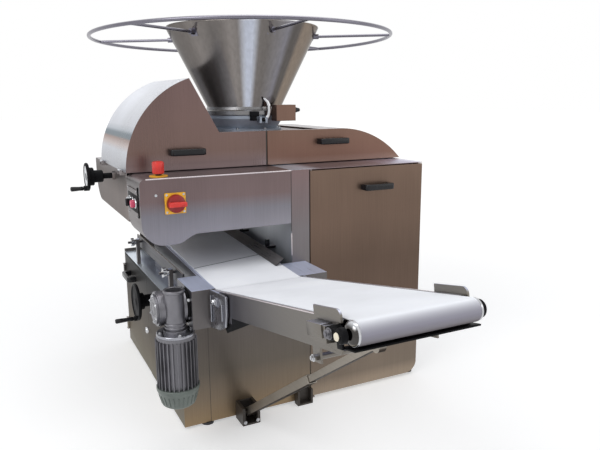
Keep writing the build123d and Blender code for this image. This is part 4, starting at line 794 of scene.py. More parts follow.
# The solids that take each finish
NODE_FINISH = {
    "left_hood": "left_hood",
    "right_hood": "right_hood safety_switch",
    "box": "control_box side_control_plate top_deck",
    "wall": "upper_body_shell hinge_pins",
    "cabinet": "cabinet_shell",
    "door": "cabinet_door",
    "base": "base_casing",
    "side_door": "left_side_door",
    "back": "back_panel",
    "plate": "belt_table",
    "outfeed": "outfeed_frame",
    "rail": "left_guide_rail",
    "strut": "strut_tube strut_rod",
    "chrome": "hopper_clamp_lever outfeed_end_roller belt_drive_roller belt_tail_roller guide_clamp_knobs",
    "machined": "dough_chamber divider_drum measuring_pistons ram_piston rocker_lever con_rod crank_disc "
    "stop_nut",
    "cast": "gearbox_housing",
    "motor": "belt_motor",
    "collar": "hopper_collar",
    "fan": "fan_cover",
    "frame": "base_frame drive_gearmotor",
    "black": "selector_knob weight_crank_grip speed_crank_grip",
    "black_metal": "outfeed_bearings weight_handwheel speed_handwheel",
    "dark_rail": "right_guide_rail",
    "bracket": "strut_bracket",
    "red": "estop_button",
    "deep_red": "main_switch_knob",
    "rose": "stop_button",
    "yellow": "main_switch_plate estop_collar",
    "silver": "start_button",
    "rubber": "machine_feet",
    "belt": "transfer_belt outfeed_belt",
    "hopper": "hopper",
    "tube": "guard_ring",
}
FINISH_OF = {node: finish for finish, nodes in NODE_FINISH.items() for node in nodes.split()}


# Geometry Nodes


def new_tree(name, inputs):
    """A geometry tree with named inputs. Returns the tree and the sockets of its inputs."""
    tree = bpy.data.node_groups.new(name, "GeometryNodeTree")
    for direction in ("INPUT", "OUTPUT"):
        tree.interface.new_socket("Geometry", in_out=direction, socket_type="NodeSocketGeometry")
    for label, kind in inputs.items():
        tree.interface.new_socket(label, in_out="INPUT", socket_type=f"NodeSocket{kind}")
    return tree, tree.nodes.new("NodeGroupInput").outputs


def finish_tree(tree, start, geometry):
    """Realize a tree's instances and give them their material."""
    realized = add_node(tree, "GeometryNodeRealizeInstances", {"Geometry": geometry})
    inputs = {"Geometry": realized["Geometry"], "Material": start["Material"]}
    painted = add_node(tree, "GeometryNodeSetMaterial", inputs)
    add_node(tree, "NodeGroupOutput", {"Geometry": painted["Geometry"]})
    return tree


def run_tree(holder, tree, values):
    """Run a tree on an object and keep its result as a plain mesh."""
    modifier = holder.modifiers.new(tree.name, "NODES")
    modifier.node_group = tree
    for item in tree.interface.items_tree:
        if item.item_type == "SOCKET" and item.in_out == "INPUT" and item.name in values:
            modifier[item.identifier] = values[item.name]
    depsgraph = bpy.context.evaluated_depsgraph_get()
    result = bpy.data.meshes.new_from_object(holder.evaluated_get(depsgraph), depsgraph=depsgraph)
    holder.modifiers.clear()
    spare = holder.data
    holder.data = result
    bpy.data.meshes.remove(spare)
    result.name = holder.name
    result.shade_smooth()
    result.set_sharp_from_angle(angle=math.radians(40))


def new_holder(name, points):
    """An object whose vertices are the points that a tree works on."""
    mesh = bpy.data.meshes.new(name)
    mesh.from_pydata([tuple(point) for point in points], [], [])
    holder = bpy.data.objects.new(name, mesh)
    bpy.context.scene.collection.objects.link(holder)
    return holder


def cylinder(tree, vertices, radius, depth):
    """An upright cylinder in a tree."""
    inputs = {"Vertices": vertices, "Radius": radius, "Depth": depth}
    return add_node(tree, "GeometryNodeMeshCylinder", inputs)["Mesh"]


def joined(tree, parts):
    """Several geometries of a tree as one."""
    return add_node(tree, "GeometryNodeJoinGeometry", {"Geometry": parts})["Geometry"]


def moved(tree, geometry, offset, turn):
    """A geometry of a tree, turned and moved."""
    inputs = {"Geometry": geometry, "Translation": offset, "Rotation": turn}
    return add_node(tree, "GeometryNodeTransform", inputs)["Geometry"]


def instances(tree, points, shape, turn, scale=(1, 1, 1)):
    """A shape of a tree at every point."""
    inputs = {"Points": points, "Instance": shape, "Rotation": turn, "Scale": scale}
    return add_node(tree, "GeometryNodeInstanceOnPoints", inputs)["Instances"]


def guard_ring_tree():
    """A round tube on spokes with clamped feet, about the hopper's axis."""
    inputs = {
        "Ring radius": "Float",
        "Tube radius": "Float",
        "Spoke radius": "Float",
        "Spoke start": "Float",
        "Spokes": "Int",
        "First angle": "Float",
        "Droop": "Float",
        "Centre": "Vector",
        "Material": "Material",
    }
    tree, start = new_tree("guard_ring", inputs)
    ring_steps = 192
    round_steps = 16
    foot_size = (0.006, 0.036, 0.034)
    foot_reach = 0.004
    sleeve_size = (0.011, 0.026)
    sleeve_reach = 0.014
    level = math.pi / 2
    cone_lean = math.atan(CONE_SLOPE)

    def sum_of(operation, *values):
        return add_node(tree, "ShaderNodeMath", dict(enumerate(values)), operation=operation)[0]

    def circle(radius, steps):
        inputs = {"Radius": radius, "Resolution": steps}
        return add_node(tree, "GeometryNodeCurvePrimitiveCircle", inputs)["Curve"]

    def on_spoke(shape, place, lean):
        offset = add_node(tree, "ShaderNodeCombineXYZ", {"X": place})["Vector"]
        return moved(tree, shape, offset, (0, lean, 0))

    path = circle(start["Ring radius"], ring_steps)
    section = circle(start["Tube radius"], round_steps)
    tube = add_node(tree, "GeometryNodeCurveToMesh", {"Curve": path, "Profile Curve": section})["Mesh"]
    length = sum_of("SUBTRACT", start["Ring radius"], start["Spoke start"])
    middle = sum_of("MULTIPLY_ADD", length, 0.5, start["Spoke start"])
    # Each foot is a plate on the cone's slope with a sleeve round the spoke
    bar = cylinder(tree, round_steps, start["Spoke radius"], length)
    foot = add_node(tree, "GeometryNodeMeshCube", {"Size": foot_size})["Mesh"]
    sleeve = cylinder(tree, 20, *sleeve_size)
    arm = [
        on_spoke(bar, middle, level),
        on_spoke(foot, sum_of("ADD", start["Spoke start"], foot_reach), cone_lean),
        on_spoke(sleeve, sum_of("ADD", start["Spoke start"], sleeve_reach), level),
    ]
    step = sum_of("DIVIDE", 2 * math.pi, start["Spokes"])
    index = add_node(tree, "GeometryNodeInputIndex")["Index"]
    angle = sum_of("MULTIPLY_ADD", index, step, start["First angle"])
    points = add_node(tree, "GeometryNodePoints", {"Count": start["Spokes"]})["Points"]
    turn = add_node(tree, "FunctionNodeAxisAngleToRotation", {"Axis": UP, "Angle": angle})["Rotation"]
    spokes = instances(tree, points, joined(tree, arm), turn)
    lean = add_node(tree, "ShaderNodeCombineXYZ", {"X": start["Droop"]})["Vector"]
    return finish_tree(tree, start, moved(tree, joined(tree, [tube, spokes]), start["Centre"], lean))


def fastener_tree(label, sides):
    """A bolt head on a washer at every point, turned along the point's facing."""
    tree, start = new_tree(label, {"Material": "Material"})
    parts = []
    shapes = ((sides, 1.0, 0.75, 0.5), (20, 1.35, 0.22, 0.11), (14, 0.55, 0.3, 0.95))
    for vertices, radius, height, rise in shapes:
        parts.append(moved(tree, cylinder(tree, vertices, radius, height), (0, 0, rise), (0, 0, 0)))
    named = "GeometryNodeInputNamedAttribute"
    facing = add_node(tree, named, {"Name": "facing"}, data_type="FLOAT_VECTOR")["Attribute"]
    size = add_node(tree, named, {"Name": "size"}, data_type="FLOAT")["Attribute"]
    turn = add_node(tree, "FunctionNodeAlignRotationToVector", {"Vector": facing}, axis="Z")["Rotation"]
    bolts = instances(tree, start["Geometry"], joined(tree, parts), turn, size)
    return finish_tree(tree, start, bolts)


def fasteners(name, tree, body, places, finish):
    """All the bolts of one kind on one body; a place is a point, a facing and a head radius."""
    holder = new_holder(name, [metres(*point) for point, facing, radius in places])
    facings = holder.data.attributes.new("facing", "FLOAT_VECTOR", "POINT")
    for item, (point, facing, radius) in zip(facings.data, places):
        item.vector = Vector(facing).normalized()
    sizes = holder.data.attributes.new("size", "FLOAT", "POINT")
    for item, (point, facing, radius) in zip(sizes.data, places):
        item.value = radius * MM
    run_tree(holder, tree, {"Material": FINISHES[finish]})
    attach(holder, body)


def circle_places(centre, axis, radius, count, head, start=0.0):
    """Bolt places on a circle about the way that the bolts face."""
    first = Vector(axis).orthogonal().normalized()
    second = Vector(axis).normalized().cross(first)
    places = []
    for cosine, sine in around(count, start):
        offset = (first * cosine + second * sine) * radius
        places.append((tuple(Vector(centre) + offset), axis, head))
    return places


# Operators


class DIVIDER_OT_finishes(bpy.types.Operator):
    """Give every solid of the frame its material"""

    bl_idname = "divider.finishes"
    bl_label = "Finish the solids"

    def execute(self, context):
        steel = context.scene.divider_steel
        plastic = context.scene.divider_plastic
        make_hoods_and_box(steel)
        make_cabinet_and_base(steel)
        make_belt_parts(steel)
        make_other_metals(steel, plastic)
        make_plastics(plastic)
        for node, finish in FINISH_OF.items():
            for material_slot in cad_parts[node].material_slots:
                material_slot.material = FINISHES[finish]
        return {"FINISHED"}


# Slot, body and sheet-metal solids
FOLDED = (
    ("stainless", "machine", "base_casing back_panel belt_table cabinet_shell control_box safety_switch"),
    ("stainless", "machine", "side_control_plate upper_body_shell"),
    ("stainless", "cabinet_door", "cabinet_door"),
    ("stainless", "left_side_door", "left_side_door"),
    ("stainless", "right_hood", "right_hood"),
    ("stainless", "outfeed", "outfeed_frame"),
    ("stainless", "left_guide_rail", "left_guide_rail"),
    ("stainless", "strut_tube", "strut_tube"),
    ("stainless", "strut_rod", "strut_rod"),
    ("bright_stainless", "left_hood", "left_hood"),
    ("black_plastic", "machine", "strut_bracket"),
    ("yellow_plastic", "machine", "main_switch_plate"),
    ("collar_grey", "machine", "right_guide_rail"),
)
# Points as close as this are one, and edges as short as this are dropped
SAME_PLACE = 0.02 * MM
NO_LENGTH = 0.001 * MM
# An edge is rounded where it is longer and sharper than this
SHORTEST_FOLD = 20.0 * MM
LEAST_FOLD = math.radians(35)
FOLD_RADIUS = 1.2 * MM
FLAT_LIMIT = math.radians(0.5)
# Where a solid has small steps or a shallow curve, its folds are finer or its flats are joined sooner
FINE_FOLDS = {"belt_table": 0.8 * MM}
WIDE_FLATS = {"right_hood": math.radians(2.0)}


def fold_edges(node, body):
    """Round the long outer edges of a sheet-metal solid."""
    bm = bmesh.new()
    bm.from_mesh(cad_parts[node].data)
    bmesh.ops.remove_doubles(bm, verts=bm.verts, dist=SAME_PLACE)
    flat = WIDE_FLATS.get(node, FLAT_LIMIT)
    bmesh.ops.dissolve_limit(bm, angle_limit=flat, verts=bm.verts, edges=bm.edges)
    edges = []
    for edge in bm.edges:
        sharp = edge.is_manifold and edge.is_convex and edge.calc_face_angle() > LEAST_FOLD
        if sharp and edge.calc_length() > SHORTEST_FOLD:
            edges.append(edge)
    round_edges(bm, edges, FINE_FOLDS.get(node, FOLD_RADIUS), 2, clamp=False)
    bmesh.ops.dissolve_degenerate(bm, dist=NO_LENGTH, edges=bm.edges)
    attach(new_object(f"{node}_folded", bm, FINISHES[FINISH_OF[node]], sharp=20), body, node)


class DIVIDER_OT_casings(bpy.types.Operator):
    """Round the folded edges of the sheet-metal casings"""

    bl_idname = "divider.casings"
    bl_label = "Casings"

    def execute(self, context):
        for slot, body, nodes in FOLDED:
            for node in nodes.split():
                fold_edges(node, body)
        return {"FINISHED"}


class DIVIDER_OT_hopper(bpy.types.Operator):
    """Build the hopper cone with its beaded rim, and its flange"""

    bl_idname = "divider.hopper"
    bl_label = "Hopper"

    def execute(self, context):
        base_r, base_z = CONE_BOTTOM
        rim_r, rim_z = CONE_RIM
        bead = 6.0
        bead_z = rim_z - 0.05 - bead
        wall = 3.0
        cone = [(base_r - wall, base_z - 6), (base_r + 1, base_z - 6), (base_r + 1, base_z)]
        for step in range(13):
            angle = math.radians(-40 + step * 260 / 12)
            cone.append((rim_r - wall + bead * math.cos(angle), bead_z + bead * math.sin(angle)))
        cone.append((base_r - wall, base_z))
        shell = (add_turned, cone, HOPPER_CENTRE, UP, 128, True)
        build("hopper_cone", "hopper", "hopper", "bright_stainless", shell, replaced="hopper")

        inner = base_r - 22
        flange = [
            (inner, FLANGE_Z), (180, FLANGE_Z), (183, FLANGE_Z + 3), (183, base_z - 18), (180, base_z - 15),
            (base_r + 5, base_z - 13), (base_r + 2, base_z - 4), (base_r + 1.5, base_z - 1),
            (base_r - wall - 0.5, base_z - 1), (inner, base_z - 14),
        ]
        bore = 6.05
        barrel = [(bore, 0), (11, 0), (12, 1), (12, 97), (11, 98), (bore, 98)]
        x = HOPPER_CENTRE[0]
        pin_y, pin_z = TILT_PIN
        build(
            "hopper_flange", "hopper", "flange", "bright_stainless",
            (add_turned, flange, HOPPER_CENTRE, UP, 128, True),
            (add_turned, barrel, (x - 49, pin_y, pin_z), RIGHT, 32, True),
            (add_box, (x - 45, 650, pin_z - 7), (x + 45, pin_y - 8, pin_z + 8), 2.0),
        )
        return {"FINISHED"}


class DIVIDER_OT_guard_ring(bpy.types.Operator):
    """Build the round guard tube on its spokes"""

    bl_idname = "divider.guard_ring"
    bl_label = "Guard ring"

    def execute(self, context):
        sizes = context.scene.divider_guard
        cone_radius = CONE_BOTTOM[0] + (RING_Z - CONE_BOTTOM[1]) * CONE_SLOPE
        values = {
            "Ring radius": sizes.ring_radius,
            "Tube radius": sizes.tube_radius,
            "Spoke radius": sizes.spoke_radius,
            "Spoke start": (cone_radius + 1.0) * MM,
            "Spokes": sizes.spokes,
            "First angle": sizes.first_angle,
            "Droop": sizes.droop,
            "Centre": tuple(metres(*HOPPER_CENTRE[:2], RING_Z)),
            "Material": FINISHES["tube"],
        }
        holder = new_holder("guard_tubes", [(0, 0, 0)])
        run_tree(holder, guard_ring_tree(), values)
        attach(holder, "hopper", "guard_ring")
        return {"FINISHED"}


class DIVIDER_OT_clamp(bpy.types.Operator):
    """Build the hopper's bowed clamp lever, its latch block and the switch box's tip"""

    bl_idname = "divider.clamp"
    bl_label = "Hopper clamp"

    def execute(self, context):
        x, y, z = LEVER
        lever = "hopper_clamp_lever"
        bow = (
            ((x, y, z - 2), 7), ((x + 14, y - 3, z + 2), 7.5), ((x + 24, y - 6, z + 16), 8),
            ((x + 28, y - 8, z + 36), 8.5), ((x + 26, y - 9, z + 58), 8), ((x + 18, y - 10, z + 76), 7),
            ((x + 6, y - 10, z + 88), 5), ((x, y - 10, z + 92), 3),
        )
        build("clamp_lever_bow", lever, "chrome", "chrome", (add_bow, bow, BACK, 0.6), replaced=lever)
        hub = [(0, 0), (7.5, 0), (8, 1), (8, 15), (7.5, 16), (0, 16)]
        build(
            "clamp_lever_hub", lever, "black_metal", "chrome",
            (add_turned, rod(4, 0, 36), (x - 18, y, z), RIGHT, 24),
            (add_turned, hub, (x - 8, y, z), RIGHT, 32),
        )
        build(
            "latch_block", "machine", "black_metal", "black_plastic",
            (add_box, (x - 60, y - 8, z + 14), (x - 20, y + 5, z + 36), 2.0),
            (add_box, (x - 54, y - 6, z - 4), (x - 30, y + 24, z + 16), 2.0),
        )
        tip = [(0, -0.5), (14.6, -0.5), (14.6, 3), (11, 14), (8, 27), (6, 30.4), (0, 30.4)]
        build("switch_tip", "machine", "black", "black_plastic", (add_turned, tip, SWITCH_TIP, RIGHT, 32))
        return {"FINISHED"}


# Solid, body, foot of the handle, the way it runs and the way it stands out
HANDLES = (
    ("cabinet_door_handle", "cabinet_door", (452, FRONT_Y, 919), RIGHT, FRONT),
    ("left_side_door_handle", "left_side_door", (BASE_LEFT_X, 846, 415), FRONT, LEFT),
    ("left_hood_handle", "left_hood", (-320, HOOD_FRONT_Y, 1086), RIGHT, FRONT),
    ("right_hood_handle", "right_hood", (342, HOOD_FRONT_Y, 1105), RIGHT, FRONT),
)


class DIVIDER_OT_handles(bpy.types.Operator):
    """Mould the four black bridge handles"""

    bl_idname = "divider.handles"
    bl_label = "Handles"

    def execute(self, context):
        corners = [
            (-73, 0, 0), (-72, 44, 16), (72, 44, 16), (73, 0, 0),
            (50, 0, 0), (45, 27, 9), (-45, 27, 9), (-50, 0, 0),
        ]
        outline = rounded_outline(corners)
        for node, body, origin, x_dir, outward in HANDLES:
            matrix = place_at(origin, x_dir, Vector(x_dir).cross(Vector(outward)))
            bridge = (add_prism, outline, (-13, 13), matrix, 5.0)
            build(f"{node}_moulding", body, "black", "black_plastic", bridge, replaced=node, sharp=50)
        return {"FINISHED"}


GRIP_ANGLE = math.radians(255)
# Label, centre, rim radius, hub steps, tip of the grip, and the spindle's radius, end, finish and slot
HANDWHEELS = (
    ("weight", WEIGHT_WHEEL, 52, ((38, 26), (26, 38)), -735.3, (12, 319, "black_metal", "black_plastic")),
    ("speed", SPEED_WHEEL, 73, ((36, 30), (26, 54)), -616.0, (10, 104, "chrome", "chrome")),
)


def build_handwheel(label, centre, rim_radius, hub, grip_tip, spindle):
    """A black handwheel with a stepped hub, its spindle and its turning grip."""
    x, y, z = centre
    wheel_node = f"{label}_handwheel"
    grip_node = f"{label}_crank_grip"
    (first_r, first_length), (second_r, second_length) = hub
    hub_end = first_length + second_length
    inner_r = rim_radius - 4
    tube_r = 7
    rim = [(rim_radius + tube_r * cosine, tube_r * sine) for cosine, sine in around(16)]
    web = [
        (0, 5), (14, 5), (17, 3), (inner_r, 3), (inner_r, -4), (first_r, -4), (first_r, 2 - first_length),
        (first_r - 2, -first_length), (second_r, -first_length), (second_r, 4 - hub_end),
        (second_r - 4, -hub_end), (0, -hub_end),
    ]
    foot = [(0, -4), (11, -4), (11, 16), (9, 19), (0, 19)]
    pin = (y + inner_r * math.cos(GRIP_ANGLE), z + inner_r * math.sin(GRIP_ANGLE))
    build(
        f"{label}_wheel", wheel_node, "black_metal", "black_plastic",
        (add_turned, rim, centre, LEFT, 72, True),
        (add_turned, web, centre, LEFT, 72),
        (add_turned, foot, (x, *pin), LEFT, 32),
        (add_turned, rod(4.9, 18, 60), (x, *pin), LEFT, 20),
        replaced=wheel_node,
    )
    radius, end, finish, slot = spindle
    shaft = (add_turned, rod(radius, hub_end - 2, end), centre, RIGHT, 40)
    build(f"{label}_spindle", wheel_node, finish, slot, shaft)
    start = x - 21.0
    length = start - grip_tip
    grip = [
        (5.05, 0), (8, 0), (9, 2), (8.4, length * 0.3), (9.6, length * 0.65), (10, length - 5),
        (8.5, length - 1.5), (6, length), (0, length), (0, length - 8), (5.05, length - 8),
    ]
    moulding = (add_turned, grip, (start, *pin), LEFT, 32, True)
    build(f"{label}_grip", grip_node, "black", "black_plastic", moulding, replaced=grip_node)


class DIVIDER_OT_handwheels(bpy.types.Operator):
    """Build both handwheels with their crank grips"""

    bl_idname = "divider.handwheels"
    bl_label = "Handwheels"

    def execute(self, context):
        for handwheel in HANDWHEELS:
            build_handwheel(*handwheel)
        face = (add_turned, [(15.5, 3), (47, 3), (46, 4.6), (17, 4.6)], WEIGHT_WHEEL, LEFT, 72, True)
        build("weight_face", "weight_handwheel", "silver", "silver_plastic", face)
        return {"FINISHED"}


def build_main_switch():
    """The red disc with its bar, and the edge of the yellow plate."""
    x, y, z = MAIN_SWITCH
    node = "main_switch_knob"
    disc = [(0, 4.6), (33.5, 4.6), (34, 6), (34, 20), (32, 27), (26, 30.6), (0, 30.6)]
    build(
        "main_switch_disc", node, "deep_red", "red_plastic",
        (add_turned, disc, MAIN_SWITCH, FRONT, 64),
        (add_turned, rod(6, -5, 23), MAIN_SWITCH, BACK, 24),
        replaced=node,
    )
    bar = (add_box, (x - 33, y - 49.6, z - 9), (x + 33, y - 28, z + 9), 4.0)
    build("main_switch_bar", node, "red", "red_plastic", bar)
    edge = (add_box, (x - 39, y - 4.5, z - 39), (x + 39, y - 4.0, z + 39), 0.2)
    build("main_switch_edge", "machine", "yellow", "yellow_plastic", edge)


def build_estop():
    """The red mushroom with its ribbed grip, on its black neck."""
    x, y, z = ESTOP
    node = "estop_button"
    mushroom = [
        (0, 11), (18, 11), (20, 12.5), (20.4, 16), (20.4, 30), (22, 34), (22, 50), (20.5, 54.5), (16, 56.6),
        (8, 57), (0, 57),
    ]
    rib = [(0, 0), (1.4, 0), (1.4, 18), (0, 19)]
    ribs_r = 20.6
    shapes = [(add_turned, mushroom, ESTOP, UP, 48)]
    for cosine, sine in around(14):
        shapes.append((add_turned, rib, (x + ribs_r * cosine, y + ribs_r * sine, z + 14), UP, 8))
    build("estop_cap", node, "red", "red_plastic", *shapes, replaced=node)
    neck = [(0, -16), (11, -16), (11, 9.2), (16, 9.4), (16, 11.4), (0, 11.4)]
    build("estop_neck", node, "black", "black_plastic", (add_turned, neck, ESTOP, UP, 40))


# Solid, place along the wall, finish, slot and outline of each push button and of the selector
SIDE_BUTTONS = (
    ("stop_button", 58.0, "rose", "red_plastic", [(0, 8), (15, 8), (15, 17), (13, 21.5), (8, 23), (0, 23)]),
    ("start_button", 150.0, "silver", "silver_plastic", [(0, 8), (14, 8), (14, 13), (12, 16), (0, 17)]),
    ("selector_knob", 104.0, "black", "black_plastic", [(0, 3.6), (15, 3.6), (15, 14), (13, 17), (0, 18)]),
)


def build_side_buttons():
    """The push buttons and the selector of the side plate, their bezels and the gasket."""
    x, z = SIDE_PLATE_X, SIDE_BUTTON_Z
    bezel = [(15.3, 3.05), (18.5, 3.05), (19, 4), (17.5, 7), (16, 7.4), (15.3, 7)]
    bezels = []
    for node, y, finish, slot, cap in SIDE_BUTTONS:
        shapes = [(add_turned, rod(10, -14, 9), (x, y, z), LEFT, 32), (add_turned, cap, (x, y, z), LEFT, 40)]
        if node == "selector_knob":
            shapes.append((add_box, (x - 31, y - 5, z - 14), (x - 16, y + 5, z + 14), 2.5))
        build(f"{node}_cap", node, finish, slot, *shapes, replaced=node)
        bezels.append((add_turned, bezel, (x, y, z), LEFT, 40, True))
    build("button_bezels", "machine", "chrome", "chrome", *bezels)
    build(
        "button_gasket", "machine", "black_metal", "black_plastic",
        (add_box, (x - 3.6, 14, 866), (x, 23, 978), 1.0),
        (add_box, (x - 3.6, 24, 882), (x - 3, 184, 948), 0.2),
    )


class DIVIDER_OT_switches(bpy.types.Operator):
    """Mould the main switch, the emergency stop and the side buttons"""

    bl_idname = "divider.switches"
    bl_label = "Switches"

    def execute(self, context):
        build_main_switch()
        build_estop()
        build_side_buttons()
        return {"FINISHED"}


def lay_crease():
    """The belt's soft crease between the table and the outfeed."""
    start_y = CREASE[0] + 22.0
    reach = 34.0
    rise = 0.25
    depth = 2.6
    steps = 18
    line = []
    for index in range(steps + 1):
        share = 2 * index / steps
        if share <= 1:
            y = start_y + (CREASE[0] - start_y) * share
            line.append((y, belt_z(y)))
        else:
            line.append(on_outfeed(0, reach * (share - 1), 0)[1:])
    for _ in range(3):
        for index in range(2, steps - 1):
            before, here, after = line[index - 1 : index + 2]
            line[index] = tuple((b + 2 * h + a) / 4 for b, h, a in zip(before, here, after))
    outline = [(y, z + rise) for y, z in line] + [(y, z - depth) for y, z in reversed(line)]
    bm = bmesh.new()
    add_prism(bm, outline, BELT_X, place_at((0, 0, 0), BACK, RIGHT), 0)
    crease = new_object("belt_crease", bm, FINISHES["belt"])
    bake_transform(crease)


def draw_splice():
    """The slanting line where the belt's ends are joined."""
    splice_y = 100.0
    skew = 40.0
    half_width = 2.2
    left = Vector((BELT_X[0], splice_y - skew, belt_z(splice_y - skew)))
    right = Vector((BELT_X[1], splice_y + skew, belt_z(splice_y + skew)))
    matrix = place_at(left, right - left, (0, -BELT_SLOPE, 1))
    low = (0, -half_width, -0.2)
    high = ((right - left).length, half_width, 0.5)
    build("belt_splice", "machine", "splice", "belt_white", (add_box, low, high, 0.1, matrix, 1))


class DIVIDER_OT_belt(bpy.types.Operator):
    """Lay the belt over the crease and draw its splice"""

    bl_idname = "divider.belt"
    bl_label = "Belt"

    def execute(self, context):
        lay_crease()
        draw_splice()
        return {"FINISHED"}


def build_gearbox():
    """Rims, covers and ribs of the gearbox, and the flanges at its two ends."""
    mouth = [
        (34.6, 626), (36.6, 628), (38, 631), (37.8, 636.5), (36, 639.2), (30.2, 639.2), (28.9, 638),
        (28.9, 626),
    ]
    collar = [(34, 0), (37, 0), (38, 1.5), (38, 6), (36.5, 8), (34, 8)]
    cover = [(26, 5.5), (50, 5.5), (52, 6.2), (51, 7), (45, 7.4), (30, 7.5), (26, 6.8)]
    cap = [(0, 5.5), (22, 5.5), (22, 6.8), (18, 7.8), (0, 7.8)]
    rib = [(60, -12), (63.5, -11), (63.5, -5), (60, -4)]
    trim = [(add_turned, mouth, WORM, UP, 56, True)]
    for low in (500, 513):
        trim.append((add_turned, [(r, h + low) for r, h in collar], WORM, UP, 56, True))
    trim.append((add_turned, cover, GEAR_COVER, LEFT, 56, True))
    trim.append((add_turned, cap, GEAR_COVER, LEFT, 40))
    for step in (0, 50, 84):
        trim.append((add_turned, [(r, h - step) for r, h in rib], GEAR_COVER, LEFT, 72, True))
    build("gearbox_trim", "machine", "cast", "motor_aluminium", *trim)
    ring = [(36, 474.5), (66, 474.5), (68, 476), (68, 482.5), (66, 485), (36, 485)]
    build("motor_flange", "machine", "zinc", "motor_aluminium", (add_turned, ring, WORM, UP, 72, True))
    plate = [(20, 0), (64, 0), (66, 2), (66, 8), (64, 10), (20, 10)]
    flange = (add_turned, plate, GEAR_FLANGE, RIGHT, 56, True)
    build("gearbox_flange", "machine", "black_metal", "black_plastic", flange)


def build_fan_cover():
    """The motor's ribbed fan cover."""
    foot_r, foot_z = 59.4, 216.0
    run, climb = 13, 46
    shell = [
        (0, 208.8), (46, 208.8), (51, 209.6), (foot_r, foot_z), (72.4, 262), (76.4, 270), (77.5, 274),
        (77.5, 284), (76, 285.6), (0, 285.6),
    ]
    shapes = [(add_turned, shell, WORM, UP, 72)]
    for cosine, sine in around(24):
        outward = Vector((cosine, sine, 0))
        foot = Vector(WORM) + outward * foot_r + Vector(UP) * foot_z
        matrix = place_at(foot, outward * climb - Vector(UP) * run, outward * run + Vector(UP) * climb)
        shapes.append((add_box, (-3, -2.5, 6), (1.6, 2.5, 44), 0.8, matrix, 2))
    build("fan_cover_shell", "machine", "fan", "fan_grey", *shapes, replaced="fan_cover")


class DIVIDER_OT_gearmotor(bpy.types.Operator):
    """Add the gearbox's rims, covers and flange, and turn the motor's fan cover"""

    bl_idname = "divider.gearmotor"
    bl_label = "Belt gearmotor"

    def execute(self, context):
        build_gearbox()
        build_fan_cover()
        return {"FINISHED"}


# Side, side plate's face, boss depth, bearing radius, bearing's two ends, place of the cap
OUTFEED_ENDS = (
    (LEFT, OUTFEED_X[0], 28.0, 18.5, (14.0, 30.5), -389.0),
    (RIGHT, OUTFEED_X[1], 11.5, 23.0, (-3.3, 14.5), 12.4),
)
DOME_X = -351.6
# Outline of a black sheet under the outfeed's near plate: painted shade
SHADOW_SHEET = ((149, 84), (345, 82), (106, 143), (90, 127))


def outfeed_block(plate_x, low, high, bevel):
    """A rounded block beside a side plate; its z sizes may be given in either order."""
    near, far = sorted((low[2], high[2]))
    return (add_box, (*low[:2], near), (*high[:2], far), bevel, along_outfeed(plate_x))


class DIVIDER_OT_outfeed_end(bpy.types.Operator):
    """Build the outfeed's black end bearings, scraper, roller dome and take-up blocks"""

    bl_idname = "divider.outfeed_end"
    bl_label = "Outfeed end"

    def execute(self, context):
        cap = [(0, 0), (9, 0), (10, 1.3), (9, 3.3), (0, 3.8)]
        dome = [(8.3, 13.5), (14, 12), (21, 9), (26, 5), (28.5, 1.5), (29, 0), (8.3, 0)]
        brackets = []
        caps = []
        blocks = []
        lips = []
        for side, plate_x, boss_depth, radius, (near, far), cap_x in OUTFEED_ENDS:
            sign = side[0]
            boss = [(0, 0), (17, 0), (17, boss_depth - 3), (15, boss_depth), (0, boss_depth)]
            bearing = [
                (8.3, near), (radius - 2, near), (radius, near + 2), (radius, far - 3.5), (radius - 3, far),
                (8.3, far),
            ]
            link = ((END_BOSS[0], 17, near * sign), (END_ROLLER[0] - 12, 43, (boss_depth - 2) * sign))
            brackets += [
                (add_turned, boss, on_outfeed(plate_x, *END_BOSS), side, 40),
                (add_turned, bearing, on_outfeed(plate_x, *END_ROLLER), side, 48, True),
                outfeed_block(plate_x, *link, 3.0),
                outfeed_block(plate_x, (896, 20, 0), (921, 70, 6 * sign), 1.5),
            ]
            caps.append((add_turned, cap, on_outfeed(cap_x, *END_ROLLER), side, 40))
            blocks.append(outfeed_block(plate_x, (798, 13, 0.5 * sign), (872, 46, 30 * sign), 1.5))
            lips.append(outfeed_block(plate_x, (12, -0.6, -3), (795, 3.0, 3), 0.8))
        left_x = OUTFEED_X[0]
        brackets.append(outfeed_block(left_x, (905, 65, 0), (965, 70, OUTFEED_X[1] - left_x), 1.5))
        bearings = "outfeed_bearings"
        build("end_brackets", "outfeed", "black_metal", "black_plastic", *brackets, replaced=bearings)
        left_end = (add_turned, dome, on_outfeed(DOME_X, *END_ROLLER), LEFT, 64, True)
        build("roller_dome", "outfeed_end_roller", "dome", "chrome", left_end)
        build("bearing_caps", "outfeed_end_roller", "cream", "chrome", *caps)
        build("take_up_blocks", "outfeed", "outfeed", "stainless", *blocks)
        # Lips along the side plates' top edges in the light fold tone: painted highlight
        build("outfeed_lips", "outfeed", "fold", "stainless", *lips)
        # A black sheet standing for the shade under the near side plate: painted shade
        shadow_sheet = (add_prism, SHADOW_SHEET, (1, 5), along_outfeed(left_x), 0.8, 2)
        build("outfeed_shadow_sheet", "outfeed", "black_metal", "black_plastic", shadow_sheet)
        return {"FINISHED"}


